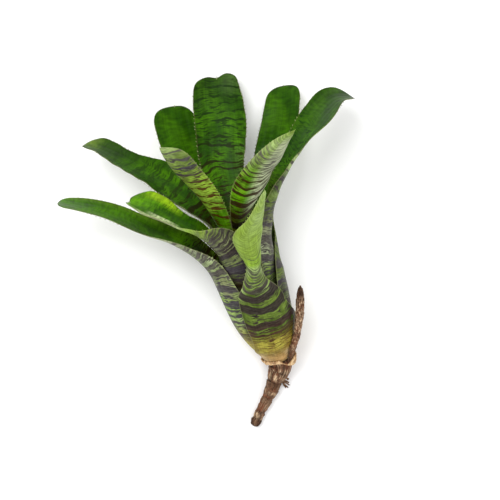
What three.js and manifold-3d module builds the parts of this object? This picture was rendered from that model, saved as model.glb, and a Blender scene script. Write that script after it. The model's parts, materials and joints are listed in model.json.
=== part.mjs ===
// Neoregelia punctatissima, a small banded bromeliad, bare-rooted and laid down on a flat surface.
// Millimetres, +Z up. The plant lies on the plane z = 0 and is looked down on along -Z, with its
// leaf tips towards +Y and its old runner towards -Y. Ten strap leaves overlap in a spiral: their
// sheaths nest like cups round one axis and make the tank, and their blades arch away from it.

import * as THREE from "three";
import { mergeVertices } from "three/addons/utils/BufferGeometryUtils.js";
import Module from "manifold-3d";

// Driving dimensions
const AXIS_RISE = 22; // degrees that the tank's axis climbs from the surface
const AXIS_TURN = 18.7; // degrees that it leans from +Y towards -X
const COLLAR_HEIGHT = 8.7; // height of the axis above the surface where the lowest leaf starts
const TANK_HEIGHTS = [0, 6, 12, 19, 28, 37, 47, 56, 66, 80]; // along the axis
const TANK_RADII = [7, 9.35, 13.2, 16.0, 18.3, 19.6, 20.4, 21.2, 22.8, 27.0]; // outermost sheath
const SHEATH_PITCH = 1.25; // from one sheath to the next one in
const LEAF_THICKNESS = 0.75;
const SEAT_GAP = 0.32; // between pieces that touch in life

// Grid sizes
const SHEATH_ROWS = 10;
const BLADE_ROWS = 14;
const LEAF_COLUMNS = 10;
const TRACE_STEP = 1.5; // length between the sections that a leaf is measured from
const BLEND_LENGTH = 12; // over which a leaf stops following the tank
const TIP_TAPER = 12; // length before the rounded tip where the rows start to crowd

// The leaves, from the outermost inwards. azimuth is the direction of the midrib round the axis, in
// degrees from the side that faces up, positive towards +X. A sheath row is [height on the axis,
// wrap to the left, wrap to the right], in degrees. A blade row is [x, y, z of the midrib, left and
// right half widths, left and right cupping in degrees, twist in degrees], x and y from the collar.
const LEAVES = [
  {
    // short leaf on the near side, whose blade rises towards the viewer
    name: "leaf_01", azimuth: 4, starts: 0.5, ends: 56, tip: { length: 5, power: 2.2, notch: 0, lean: 0 },
    sheath: [
      [0.5, 100, 100], [8, 78, 98], [15, 52, 92], [22, 43, 78], [30, 41, 58], [38, 39, 43],
      [46, 36, 37], [53, 29, 25], [56, 21, 19],
    ],
    blade: [
      [-13.4, 49.5, 56.2, 5.2, 5.2, 62, 62, 0], [-13.9, 54, 60, 5.7, 5.8, 62, 65, 0],
      [-15.9, 61.5, 68, 8.1, 8.6, 50, 55, 0], [-16.4, 68, 76, 8.6, 9.6, 38, 45, 3],
      [-14, 75, 82, 4.8, 8, 35, 45, 9], [-10.5, 83.5, 89, 3, 4.5, 35, 40, 18],
      [-8.5, 91.5, 96, 1.5, 1.5, 30, 30, 25],
    ],
  },
  {
    // long leaf that reaches furthest to the left
    name: "leaf_02", azimuth: -82, starts: 0.8, ends: 56, tip: { length: 7, power: 2.6, notch: 0, lean: 0 },
    sheath: [
      [0.8, 95, 95], [8, 95, 95], [22, 88, 80], [36, 78, 68], [48, 68, 60], [56, 62, 54],
    ],
    blade: [
      [-39.5, 50, 34, 19, 15, 65, 62, -2], [-50, 59.5, 34, 17, 12.5, 50, 45, -14],
      [-71, 70, 33, 13, 10.1, 25, 28, -28], [-90, 78.5, 33, 11.2, 9.9, 20, 20, -32],
      [-109, 84.3, 33, 10.2, 10.2, 15, 15, -26], [-121.5, 86, 32, 9, 10.2, 15, 15, -20],
    ],
  },
  {
    // rounded blade at the far right, lying low
    name: "leaf_03", azimuth: 145, starts: 2.5, ends: 52, tip: { length: 9, power: 2.6, notch: 0, lean: 0 },
    sheath: [
      [2.5, 95, 95], [10, 95, 95], [22, 95, 85], [40, 98, 64], [47, 102, 52], [52, 98, 42],
    ],
    blade: [
      [-6.5, 66, 14, 14.5, 10, 84, 40, 0], [-7, 80, 13.5, 6, 10, 40, 35, 0],
      [-6, 96.5, 13, 7.8, 10.6, 30, 30, 0], [-1, 119, 9.5, 11.2, 12.2, 22, 22, 0],
      [2, 139, 6.4, 12.4, 11, 18, 18, 0], [3, 152.9, 2.9, 11.5, 10, 15, 15, 0],
    ],
  },
  {
    // broad blade at the far left, lying low
    name: "leaf_04", azimuth: -155, starts: 4, ends: 54, tip: { length: 10, power: 2.5, notch: 0, lean: 0 },
    sheath: [[4, 95, 95], [10, 95, 95], [22, 85, 85], [40, 64, 60], [54, 38, 38]],
    blade: [
      [-29.5, 70.5, 19, 9.5, 9.5, 35, 35, 0], [-39.5, 88.5, 16, 11, 11, 30, 30, 0],
      [-49.5, 108, 10.5, 13, 13.4, 22, 22, 0], [-55.5, 125, 5.6, 12.7, 14.2, 18, 18, 0],
      [-58.5, 141.5, 1.93, 9.8, 14.3, 15, 15, 0],
    ],
  },
  {
    // short channelled leaf that opens over the second one
    name: "leaf_05", azimuth: -62, starts: 6, ends: 56, tip: { length: 8, power: 2.8, notch: 1.4, lean: 0 },
    sheath: [[6, 95, 95], [12, 95, 95], [24, 80, 80], [38, 66, 66], [56, 50, 56]],
    blade: [
      [-30.5, 54, 46.5, 11.5, 16.5, 55, 74, 0], [-37, 63, 51.5, 11, 19.5, 55, 88, -10],
      [-45, 69.5, 53, 9.5, 12.5, 45, 60, -37], [-55, 74, 53, 9.8, 10, 40, 45, -44],
      [-67, 80, 53, 13.8, 10.5, 35, 40, -46], [-76.5, 84, 53, 15.6, 9, 30, 35, -42],
      [-82.5, 87, 53, 10.5, 6.5, 30, 35, -38],
    ],
  },
  {
    // long leaf that reaches furthest to the right
    name: "leaf_06", azimuth: 85, starts: 8, ends: 54, tip: { length: 9, power: 2.2, notch: 0, lean: 0 },
    sheath: [[8, 95, 95], [14, 90, 90], [24, 80, 80], [40, 63, 58], [54, 58, 45]],
    blade: [
      [-3.8, 79.5, 34, 14, 10, 64, 45, 0], [0.6, 96.2, 36, 14.5, 11, 46, 45, 11],
      [10.2, 115.8, 36, 13.5, 12.5, 32, 40, 21], [22.4, 134.4, 34, 17.6, 14, 22, 22, 32],
      [32.7, 143.8, 31, 12.6, 14.5, 20, 20, 30], [41.5, 144, 29, 4.5, 10, 20, 20, 25],
    ],
  },
  {
    // long leaf to the upper left
    name: "leaf_07", azimuth: -112, starts: 10, ends: 54, tip: { length: 8, power: 2.2, notch: 0, lean: 0 },
    sheath: [[10, 95, 95], [16, 90, 90], [24, 80, 80], [40, 60, 60], [54, 38, 36]],
    blade: [
      [-36, 72, 28.6, 8, 7.8, 32, 36, 0], [-49, 84.5, 30, 10.5, 11, 35, 40, -10],
      [-65.5, 96, 30, 17.4, 10.6, 28, 28, -12], [-85, 108, 28, 11.4, 9, 25, 25, -8],
      [-100, 116, 26, 12.4, 7.5, 20, 20, -3], [-108.6, 118, 24, 10, 3.5, 20, 20, 0],
    ],
  },
  {
    // the broadest blade, at the back, with a notched tip
    name: "leaf_08", azimuth: 175, starts: 12, ends: 56, tip: { length: 8, power: 2.6, notch: 2, lean: -1.2 },
    sheath: [[12, 95, 95], [18, 90, 90], [26, 80, 85], [40, 58, 66], [56, 40, 50]],
    blade: [
      [-24, 80, 26, 9.5, 9.5, 34, 38, 0], [-30, 105, 20, 12, 13, 30, 30, 0],
      [-32, 133, 13.5, 14.8, 15.1, 24, 24, 0], [-34, 147, 9, 13.6, 14, 22, 22, 0],
      [-34.7, 159, 6, 11.3, 12.5, 20, 20, 0],
    ],
  },
  {
    // young inner leaf that leans to the left
    name: "leaf_09", azimuth: -50, starts: 14, ends: 54, tip: { length: 10, power: 2.2, notch: 0, lean: 0 },
    sheath: [[14, 95, 95], [20, 90, 90], [28, 80, 80], [40, 62, 58], [54, 48, 35]],
    blade: [
      [-31.5, 73.5, 50, 9, 6.6, 60, 50, 0], [-38.5, 87.5, 58, 10, 7.6, 50, 50, 10],
      [-48, 100, 66, 10, 7.6, 40, 40, 15], [-56.5, 109.5, 72, 9, 7, 35, 35, 15],
      [-63.5, 114.5, 76, 3, 3, 40, 40, 15],
    ],
  },
  {
    // innermost young leaf, pointed, that leans to the right
    name: "leaf_10", azimuth: 45, starts: 17, ends: 54, tip: { length: 10, power: 2.2, notch: 0, lean: 0 },
    sheath: [[17, 100, 100], [20, 95, 95], [28, 85, 88], [40, 60, 70], [54, 46, 55]],
    blade: [
      [-18, 79.5, 54, 9.6, 12, 60, 60, -8], [-14.5, 92.5, 62, 11.6, 13, 50, 50, -24],
      [-8.5, 105, 70, 8.2, 12.5, 45, 50, -32], [-1, 115, 76, 5, 8, 45, 50, -34],
      [7.5, 123.5, 82, 1.2, 1.2, 45, 45, -34],
    ],
  },
];

// The woody stem: [height on the axis, radius] inside the tank, then [x, y, z, radius] of the
// crown below it, which bends down to the surface
const STEM_CORE = [
  [21.5, 1.2], [19, 2.8], [14, 3.0], [12, 3.2], [10, 3.3], [8, 3.4], [6, 3.55], [4, 3.95],
  [2.5, 4.5], [0.8, 5.15], [0.3, 6.1], [-1.5, 6.5], [-3, 6.5],
];
const STEM_CROWN = [[0.3, -7, 5.7, 6.1], [-1.2, -10.4, 5.1, 5.2], [-2.2, -13, 4.4, 4.3]];
const STEM_SIDES = 16;

// Broken roots at the crown: [x, y, z inside the crown, x, y, z of the broken end, radius]
const ROOTS = [
  [0.4, -11.2, 5.2, 5.9, -14, 4.6, 0.6], [0.2, -11.8, 4.2, 5.4, -16.8, 3.4, 0.55],
  [0.6, -11.8, 6, 6.2, -15.4, 5.4, 0.5], [2, -9, 5, 5.6, -12.2, 4.4, 0.8],
  [0.4, -11.4, 2.8, 4.2, -17, 1.8, 0.5],
];

// The old runner that joined the plant to its parent: [x, y, z, radius] down to its blunt end
const OLD_RUNNER = [
  [-2.4, -13.6, 4.25, 4.1], [-3.2, -16.2, 3.9, 3.9], [-4.4, -19.2, 3.5, 3.5],
  [-5.8, -22.2, 3.15, 3.15], [-7.4, -25.3, 2.95, 2.95], [-9.0, -28.4, 2.8, 2.8],
  [-10.7, -31.6, 2.65, 2.65], [-12.1, -34.8, 2.7, 2.7], [-13.1, -37.4, 2.7, 2.35],
];

// The new runner that climbs beside the tank: [height on the axis, distance from it, azimuth, radius]
const NEW_RUNNER = [
  [-2.6, 7.7, 46, 1.1], [-0.8, 9.2, 45.5, 1.4], [3, 10.45, 45.7, 1.5], [6.6, 12.4, 47.6, 1.65],
  [10.7, 15.1, 50, 1.8], [18.6, 19, 55.4, 1.9], [26.6, 21.7, 61.8, 2.3], [34.1, 23.5, 69.5, 2.1],
  [37.6, 24.3, 73.5, 1.5], [39.4, 24.7, 76, 0.6],
];
const RUNNER_SIDES = 12;
const ROUNDED_END = 0.35; // how far an end's middle stands out, as a share of its radius
const CUT_END = 0.03;

// The papery collar round the foot of the tank, all that is left of an old leaf
const COLLAR = {
  columns: 32,
  rows: 5,
  thickness: 0.9,
  foot: 0.4, // height of its lower edge, which droops at the new runner
  droop: 3.6,
  droopAt: 40,
  droopWidth: 27,
  rim: 3, // height of its upper edge, which sags in front
  sag: 4.6,
  sagAt: 22,
  sagWidth: 17,
  bulge: 3.6, // and stands off from the tank there
  bulgeAt: 46,
  bulgeWidth: 25,
  tatter: 0.12, // depth of the ragged upper edge
};

const rad = THREE.MathUtils.degToRad;

const axis = new THREE.Vector3(
  -Math.sin(rad(AXIS_TURN)) * Math.cos(rad(AXIS_RISE)),
  Math.cos(rad(AXIS_TURN)) * Math.cos(rad(AXIS_RISE)),
  Math.sin(rad(AXIS_RISE)),
);
const front = new THREE.Vector3(0, 0, 1).addScaledVector(axis, -axis.z).normalize();
const right = new THREE.Vector3().crossVectors(axis, front);
const collarPlace = new THREE.Vector3(0, 0, COLLAR_HEIGHT);

// A smooth curve through values at uneven knots
function glide(knots, values, at) {
  const last = knots.length - 1;
  let i = 0;
  while (i < last - 1 && at > knots[i + 1]) {
    i += 1;
  }
  const slopeOver = (k) => (values[k + 1] - values[k]) / (knots[k + 1] - knots[k]);
  const slopeAt = (k) => {
    if (k === 0) {
      return slopeOver(0);
    }
    if (k === last) {
      return slopeOver(last - 1);
    }
    const before = knots[k] - knots[k - 1];
    const after = knots[k + 1] - knots[k];
    return (slopeOver(k - 1) * after + slopeOver(k) * before) / (before + after);
  };
  const width = knots[i + 1] - knots[i];
  const u = (at - knots[i]) / width;
  return values[i] * (2 * u ** 3 - 3 * u ** 2 + 1)
    + values[i + 1] * (3 * u ** 2 - 2 * u ** 3)
    + slopeAt(i) * width * (u ** 3 - 2 * u ** 2 + u)
    + slopeAt(i + 1) * width * (u ** 3 - u ** 2);
}

const column = (rows, k) => rows.map((row) => row[k]);
const outward = (azimuth) => front.clone().multiplyScalar(Math.cos(rad(azimuth)))
  .addScaledVector(right, Math.sin(rad(azimuth)));
const sideways = (azimuth) => outward(azimuth + 90);
const tankRadius = (height) => glide(TANK_HEIGHTS, TANK_RADII, height);
const tankPoint = (height, azimuth, radius) => collarPlace.clone().addScaledVector(axis, height)
  .addScaledVector(outward(azimuth), radius);

// The sections of one leaf, from its foot to its tip: the midrib, the directions across the leaf
// and into its cup, and each half's width and curvature
function traceLeaf(leaf, layer) {
  const radiusAt = (height) => tankRadius(height) - SHEATH_PITCH * layer;
  const heights = column(leaf.sheath, 0);
  const wrap = (k, height) => rad(glide(heights, column(leaf.sheath, k), height));
  const sections = [];

  const sheathSteps = Math.ceil((leaf.ends - leaf.starts) / TRACE_STEP);
  for (let i = 0; i <= sheathSteps; i += 1) {
    const height = leaf.starts + (leaf.ends - leaf.starts) * (i / sheathSteps);
    const radius = radiusAt(height);
    sections.push({
      middle: tankPoint(height, leaf.azimuth, radius),
      across: sideways(leaf.azimuth),
      inward: outward(leaf.azimuth).negate(),
      widths: [wrap(1, height) * radius, wrap(2, height) * radius],
      curves: [1 / radius, 1 / radius],
    });
  }

  // the blade's midrib starts from the sheath's, with a point below it to set its direction
  const lead = 8;
  const below = leaf.ends - lead;
  const points = [tankPoint(below, leaf.azimuth, radiusAt(below)), sections[sheathSteps].middle];
  leaf.blade.forEach(([x, y, z]) => points.push(new THREE.Vector3(x, y, z)));
  const knots = [-points[0].distanceTo(points[1]), 0];
  for (let i = 2; i < points.length; i += 1) {
    knots.push(knots[i - 1] + points[i].distanceTo(points[i - 1]));
  }
  const along = (at) => new THREE.Vector3(
    glide(knots, points.map((p) => p.x), at),
    glide(knots, points.map((p) => p.y), at),
    glide(knots, points.map((p) => p.z), at),
  );
  const halfWidths = [0, 1].map((side) => [
    wrap(side + 1, below) * radiusAt(below),
    wrap(side + 1, leaf.ends) * radiusAt(leaf.ends),
    ...column(leaf.blade, 3 + side),
  ]);
  const cups = [0, 1].map((side) => [
    wrap(side + 1, below), wrap(side + 1, leaf.ends), ...column(leaf.blade, 5 + side).map(rad),
  ]);
  const twists = [0, 0, ...column(leaf.blade, 7).map(rad)];

  const length = knots[knots.length - 1];
  const steps = Math.ceil(length / TRACE_STEP);
  const reach = 0.5;
  const directionAt = (at) => along(Math.min(at + reach, length)).sub(along(at - reach)).normalize();
  let direction = directionAt(0);
  const carried = sideways(leaf.azimuth);
  for (let i = 1; i <= steps; i += 1) {
    const at = (length * i) / steps;
    const next = directionAt(at);
    carried.applyQuaternion(new THREE.Quaternion().setFromUnitVectors(direction, next));
    direction = next;
    const twist = glide(knots, twists, at);
    const across = carried.clone().applyAxisAngle(direction, twist);
    const inward = new THREE.Vector3().crossVectors(direction, across);
    const free = THREE.MathUtils.smoothstep(at, 0, BLEND_LENGTH);
    inward.lerp(outward(leaf.azimuth).negate(), 1 - free).normalize();
    const widths = [0, 1].map((side) => Math.max(0.4, glide(knots, halfWidths[side], at)));
    const curves = [0, 1].map((side) => glide(knots, cups[side], at) / widths[side]);
    sections.push({ middle: along(at), across, inward, widths, curves });
  }

  sections[0].run = 0;
  for (let i = 1; i < sections.length; i += 1) {
    const step = sections[i].middle.distanceTo(sections[i - 1].middle);
    sections[i].run = sections[i - 1].run + step;
  }
  return { sections, length: sections[sections.length - 1].run, sheathSteps };
}

// The point of a leaf's middle surface at a distance from its foot, with across from -1 to 1
function leafPoint(trace, distance, across) {
  const { sections } = trace;
  let i = 0;
  while (i < sections.length - 2 && sections[i + 1].run < distance) {
    i += 1;
  }
  const a = sections[i];
  const b = sections[i + 1];
  const t = (distance - a.run) / (b.run - a.run);
  const side = across < 0 ? 0 : 1;
  const width = THREE.MathUtils.lerp(a.widths[side], b.widths[side], t) * Math.abs(across);
  const curve = THREE.MathUtils.lerp(a.curves[side], b.curves[side], t);
  const flat = Math.abs(curve) < 1e-6;
  const out = flat ? width : Math.sin(curve * width) / curve;
  const up = flat ? 0 : (1 - Math.cos(curve * width)) / curve;
  const acrossDirection = a.across.clone().lerp(b.across, t).normalize();
  const inward = a.inward.clone().lerp(b.inward, t).normalize();
  return a.middle.clone().lerp(b.middle, t)
    .addScaledVector(acrossDirection, Math.sign(across) * out)
    .addScaledVector(inward, up);
}

// The grid of a leaf's middle surface: the last rows crowd together so that they end on the tip's
// rounded outline
function leafGrid(leaf, trace) {
  const { sections, length, sheathSteps } = trace;
  const sheathLength = sections[sheathSteps].run;
  const distances = [];
  for (let i = 0; i <= SHEATH_ROWS; i += 1) {
    distances.push((sheathLength * i) / SHEATH_ROWS);
  }
  for (let i = 1; i <= BLADE_ROWS; i += 1) {
    distances.push(sheathLength + ((length - sheathLength) * i) / BLADE_ROWS);
  }
  const crowdFrom = length - leaf.tip.length - TIP_TAPER;
  const notchWidth = 0.3;
  const tipAt = (across) => {
    const rounding = 1 - (1 - Math.abs(across) ** leaf.tip.power) ** (1 / leaf.tip.power);
    const notch = leaf.tip.notch * Math.exp(-((across / notchWidth) ** 2));
    return length - leaf.tip.length * rounding - notch + leaf.tip.lean * across;
  };
  return distances.map((distance) => {
    const row = [];
    for (let j = 0; j <= LEAF_COLUMNS; j += 1) {
      const across = -1 + (2 * j) / LEAF_COLUMNS;
      const squeeze = (tipAt(across) - crowdFrom) / (length - crowdFrom);
      const placed = distance < crowdFrom ? distance : crowdFrom + (distance - crowdFrom) * squeeze;
      row.push(leafPoint(trace, placed, across));
    }
    return row;
  });
}

// A closed sheet of even thickness about a grid of points, whose two faces are split alike. A grid
// that is wrapped joins its last column to its first.
function thickSheet(grid, thickness, wrapped) {
  const rows = grid.length;
  const columns = grid[0].length;
  const pick = (i, j) => {
    const row = Math.min(Math.max(i, 0), rows - 1);
    const wanted = wrapped ? (j + columns) % columns : Math.min(Math.max(j, 0), columns - 1);
    return grid[row][wanted];
  };
  const upper = [];
  const lower = [];
  for (let i = 0; i < rows; i += 1) {
    for (let j = 0; j < columns; j += 1) {
      const alongRow = new THREE.Vector3().subVectors(pick(i, j + 1), pick(i, j - 1));
      const alongColumn = new THREE.Vector3().subVectors(pick(i + 1, j), pick(i - 1, j));
      const normal = alongColumn.cross(alongRow).normalize();
      upper.push(grid[i][j].clone().addScaledVector(normal, thickness / 2));
      lower.push(grid[i][j].clone().addScaledVector(normal, -thickness / 2));
    }
  }
  const under = upper.length;
  const triangles = [];
  const lastColumn = wrapped ? columns : columns - 1;
  const index = (i, j) => i * columns + (j % columns);
  for (let i = 0; i < rows - 1; i += 1) {
    for (let j = 0; j < lastColumn; j += 1) {
      const a = index(i, j);
      const b = index(i, j + 1);
      const c = index(i + 1, j + 1);
      const d = index(i + 1, j);
      triangles.push([a, d, c], [a, c, b]);
      triangles.push([under + a, under + c, under + d], [under + a, under + b, under + c]);
    }
  }
  const edge = (a, b) => triangles.push([a, b, under + b], [a, under + b, under + a]);
  for (let j = 0; j < lastColumn; j += 1) {
    edge(index(0, j), index(0, j + 1));
    edge(index(rows - 1, j + 1), index(rows - 1, j));
  }
  if (!wrapped) {
    for (let i = 0; i < rows - 1; i += 1) {
      edge(index(i, columns - 1), index(i + 1, columns - 1));
      edge(index(i + 1, 0), index(i, 0));
    }
  }
  return closedMesh([...upper, ...lower], triangles);
}

function closedMesh(points, triangles) {
  const geometry = new THREE.BufferGeometry();
  geometry.setAttribute("position", new THREE.Float32BufferAttribute(points.flatMap((p) => p.toArray()), 3));
  geometry.setIndex(triangles.flat());
  return geometry;
}

// A closed round stem through [point, radius] stations, flattened where it lies on the surface
function roundStem(stations, sides, ends) {
  const last = stations.length - 1;
  const points = [];
  const direction = new THREE.Vector3();
  const carried = new THREE.Vector3();
  stations.forEach(([middle, radius], i) => {
    const before = stations[Math.max(i - 1, 0)][0];
    const after = stations[Math.min(i + 1, last)][0];
    const next = new THREE.Vector3().subVectors(after, before).normalize();
    if (i === 0) {
      const up = new THREE.Vector3(0, 0, 1);
      carried.crossVectors(next, Math.abs(next.z) > 0.8 ? right : up).normalize();
    } else {
      carried.applyQuaternion(new THREE.Quaternion().setFromUnitVectors(direction, next));
    }
    direction.copy(next);
    for (let j = 0; j < sides; j += 1) {
      const spoke = carried.clone().applyAxisAngle(next, (2 * Math.PI * j) / sides);
      points.push(middle.clone().addScaledVector(spoke, radius));
    }
  });
  const endPoint = (i, neighbour, share) => {
    const [middle, radius] = stations[i];
    const out = new THREE.Vector3().subVectors(middle, stations[neighbour][0]).normalize();
    return middle.clone().addScaledVector(out, radius * share);
  };
  const first = points.length;
  points.push(endPoint(0, 1, ends[0]), endPoint(last, last - 1, ends[1]));
  points.forEach((point) => {
    point.z = Math.max(point.z, 0);
  });
  const triangles = [];
  for (let j = 0; j < sides; j += 1) {
    const k = (j + 1) % sides;
    for (let i = 0; i < last; i += 1) {
      const a = i * sides;
      triangles.push([a + j, a + k, a + sides + k], [a + j, a + sides + k, a + sides + j]);
    }
    triangles.push([first, k, j]);
    triangles.push([first + 1, last * sides + j, last * sides + k]);
  }
  return closedMesh(points, triangles);
}

const wasm = await Module();
wasm.setup();

function toSolid(geometry) {
  const merged = mergeVertices(geometry, 1e-4);
  return new wasm.Manifold(new wasm.Mesh({
    numProp: 3,
    vertProperties: new Float32Array(merged.attributes.position.array),
    triVerts: new Uint32Array(merged.index.array),
  }));
}

function toGeometry(solid) {
  const mesh = solid.getMesh();
  const geometry = new THREE.BufferGeometry();
  geometry.setAttribute("position", new THREE.BufferAttribute(mesh.vertProperties, 3));
  geometry.setIndex(new THREE.BufferAttribute(mesh.triVerts, 1));
  return geometry;
}

function stemGeometry() {
  const inTank = STEM_CORE.map(([height, radius]) => [
    collarPlace.clone().addScaledVector(axis, height), radius,
  ]);
  const crown = STEM_CROWN.map(([x, y, z, radius]) => [new THREE.Vector3(x, y, z), radius]);
  let solid = toSolid(roundStem([...inTank, ...crown], STEM_SIDES, [ROUNDED_END, CUT_END]));
  ROOTS.forEach(([x, y, z, endX, endY, endZ, radius]) => {
    const foot = new THREE.Vector3(x, y, z);
    const tip = new THREE.Vector3(endX, endY, endZ);
    const root = [0, 0.5, 1].map((share) => [foot.clone().lerp(tip, share), radius * (1 - 0.3 * share)]);
    solid = solid.add(toSolid(roundStem(root, 6, [ROUNDED_END, ROUNDED_END])));
  });
  return toGeometry(solid);
}

const oldRunnerGeometry = () => roundStem(
  OLD_RUNNER.map(([x, y, z, radius]) => [new THREE.Vector3(x, y, z), radius]),
  RUNNER_SIDES,
  [CUT_END, ROUNDED_END],
);

const newRunnerGeometry = () => roundStem(
  NEW_RUNNER.map(([height, distance, azimuth, radius]) => [tankPoint(height, azimuth, distance), radius]),
  RUNNER_SIDES,
  [ROUNDED_END, 1.5],
);

// A smooth rise round one azimuth
function hump(azimuth, size, at, width) {
  const away = THREE.MathUtils.euclideanModulo(azimuth - at + 180, 360) - 180;
  return size * Math.exp(-((away / width) ** 2));
}

function collarGeometry() {
  const grid = [];
  for (let i = 0; i <= COLLAR.rows; i += 1) {
    const row = [];
    for (let j = 0; j < COLLAR.columns; j += 1) {
      const azimuth = (-360 * j) / COLLAR.columns;
      const bulge = hump(azimuth, COLLAR.bulge, COLLAR.bulgeAt, COLLAR.bulgeWidth);
      const sag = hump(azimuth, COLLAR.sag, COLLAR.sagAt, COLLAR.sagWidth);
      const tatter = COLLAR.tatter * (Math.sin(rad(azimuth * 5)) + Math.sin(rad(azimuth * 9 + 40)));
      const rim = COLLAR.rim - sag + tatter;
      const foot = COLLAR.foot - hump(azimuth, COLLAR.droop, COLLAR.droopAt, COLLAR.droopWidth);
      const height = THREE.MathUtils.lerp(foot, rim, i / COLLAR.rows);
      const clear = (LEAF_THICKNESS + COLLAR.thickness) / 2 + SEAT_GAP;
      row.push(tankPoint(height, azimuth, tankRadius(height) + clear + bulge));
    }
    grid.push(row);
  }
  return thickSheet(grid, COLLAR.thickness, true);
}

const finishes = {
  leaf: { color: 0x3d7a1e, roughness: 0.42, metalness: 0 },
  bark: { color: 0x6b4630, roughness: 0.85, metalness: 0 },
  husk: { color: 0xc9a06a, roughness: 0.8, metalness: 0 },
};

function piece(name, geometry, finish) {
  const mesh = new THREE.Mesh(geometry, new THREE.MeshStandardMaterial(finishes[finish]));
  mesh.name = name;
  return mesh;
}

const plant = new THREE.Group();
LEAVES.forEach((leaf, layer) => {
  const grid = leafGrid(leaf, traceLeaf(leaf, layer));
  plant.add(piece(leaf.name, thickSheet(grid, LEAF_THICKNESS, false), "leaf"));
});
plant.add(piece("stem", stemGeometry(), "bark"));
plant.add(piece("old_runner", oldRunnerGeometry(), "bark"));
plant.add(piece("new_runner", newRunnerGeometry(), "bark"));
plant.add(piece("collar", collarGeometry(), "husk"));

// The origin is the middle of the box's underside
const box = new THREE.Box3().setFromObject(plant);
plant.position.set(-(box.min.x + box.max.x) / 2, -(box.min.y + box.max.y) / 2, -box.min.z);

export default plant;
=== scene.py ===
"""Detailed look of a small banded tank bromeliad that lies bare-rooted on a pale surface."""

import json
from collections import namedtuple
from functools import partial

import bpy
import numpy as np
from bpy.props import FloatProperty, FloatVectorProperty, IntProperty, PointerProperty
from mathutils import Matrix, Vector


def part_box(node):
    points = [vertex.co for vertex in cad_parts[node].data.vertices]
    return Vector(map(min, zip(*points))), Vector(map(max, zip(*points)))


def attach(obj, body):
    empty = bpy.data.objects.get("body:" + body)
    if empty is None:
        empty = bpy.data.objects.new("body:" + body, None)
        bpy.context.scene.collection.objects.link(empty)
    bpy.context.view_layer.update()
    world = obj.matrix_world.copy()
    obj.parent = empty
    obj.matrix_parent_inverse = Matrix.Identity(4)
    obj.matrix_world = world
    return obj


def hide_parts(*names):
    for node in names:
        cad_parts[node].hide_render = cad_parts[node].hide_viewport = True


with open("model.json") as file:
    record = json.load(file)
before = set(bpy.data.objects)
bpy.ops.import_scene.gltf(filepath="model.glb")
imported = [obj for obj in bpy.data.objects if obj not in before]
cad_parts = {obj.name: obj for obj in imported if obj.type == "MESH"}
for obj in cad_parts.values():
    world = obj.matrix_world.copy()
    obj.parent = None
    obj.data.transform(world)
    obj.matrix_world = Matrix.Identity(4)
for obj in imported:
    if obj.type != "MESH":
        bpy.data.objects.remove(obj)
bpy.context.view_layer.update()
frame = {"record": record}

bl_info = {
    "name": "Banded tank bromeliad",
    "version": (1, 0, 0),
    "blender": (4, 5, 0),
    "location": "3D View > Sidebar > Bromeliad",
    "description": "Dresses the plant's leaves, stem, runners and papery collar, and lights it",
    "category": "Object",
}

MM = 0.001
BODY = "root"

# The tank: its axis starts at the collar, rises from the surface and turns left of +Y, in degrees,
# and its outermost sheath has these radii at these heights on the axis, in mm
AXIS_RISE = 22
AXIS_TURN = 18.7
COLLAR_HEIGHT = 8.7
TANK_HEIGHTS = (0, 6, 12, 19, 28, 37, 47, 56, 66, 80)
TANK_RADII = (7.0, 9.35, 13.2, 16.0, 18.3, 19.6, 20.4, 21.2, 22.8, 27.0)
SHEATH_PITCH = 1.25
SEAT_GAP = 0.32
SHEET_THICKNESS = 0.75

# How a leaf is traced, in mm
TRACE_STEP = 1.5
BLEND_LENGTH = 12
BLADE_LEAD = 8
DIRECTION_REACH = 0.5
NARROWEST_HALF = 0.4
FLATTEST_CURVE = 1e-6
TIP_TAPER = 12
NOTCH_WIDTH = 0.3

# Rows and columns of the CAD sheets, which give the place of the whole plant
CAD_SHEATH_ROWS = 10
CAD_BLADE_ROWS = 14
CAD_COLUMNS = 10
ANCHOR_LEAF = "leaf_02"

# Relief and rims, in mm: where past a sheath the ripples start and are full, how wide a sheet's rim is
# rounded and thinned, where past the sheath and before the tip the prickles start and stop, and the
# step that gives a prickle its direction
RIPPLES_START, RIPPLES_FULL = -6, 18
RIM_ROUNDING, RIM_THINNING = 0.5, 5
PRICKLES_START, PRICKLES_STOP = 3, 1
PRICKLE_STEP = 0.2

# Shares of the ripples and ribs that a sheath keeps, of the thickness near a rim, of a half width at
# the margin and just inside it, and of a spike's base and length by which it is sunk, stands out and
# leans
SHEATH_RIPPLES, SHEATH_RIBS, RIM_THICKNESS = 0.25, 0.4, 0.6
MARGIN, INSIDE = 0.9999, 0.97
SPIKE_SUNK, SPIKE_OUT, SPIKE_LEAN = 0.6, 0.8, 0.6

# A leaf's two materials, the rings of a stem's rounded ends, and a way that no stem runs along
TOP, UNDER = 0, 1
CAP_RINGS = 5
SPOKE_AIM = (0.3, 0.2, 1.0)

# The length that colours and bands are laid along, and the least half width of a band's top, in mm
PATTERN_LENGTH = 170
NARROWEST_TOP = 0.02

# The stage: places in mm from the frame's origin, and the range that the camera sees in metres
CAMERA_X, CAMERA_Y = 24.05, -0.22
FLOOR_DROP = 0.05
CAMERA_CLIP = (0.01, 20)

# A leaf: azimuth round the tank's axis, heights on it where the sheath starts and ends, tip, rows of
# the sheath (height, wraps to both sides in degrees) and rows of the blade (x, y, z, half widths to
# both sides, cups to both sides in degrees, twist in degrees). A tip has its length, the power of its
# outline, the depth of its notch and how far it leans.
Tip = namedtuple("Tip", "length power notch lean", defaults=(0, 0))
Leaf = namedtuple("Leaf", "azimuth starts ends tip sheath blade")
Trace = namedtuple("Trace", "run middle across inward widths curves sheath_length")

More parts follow.
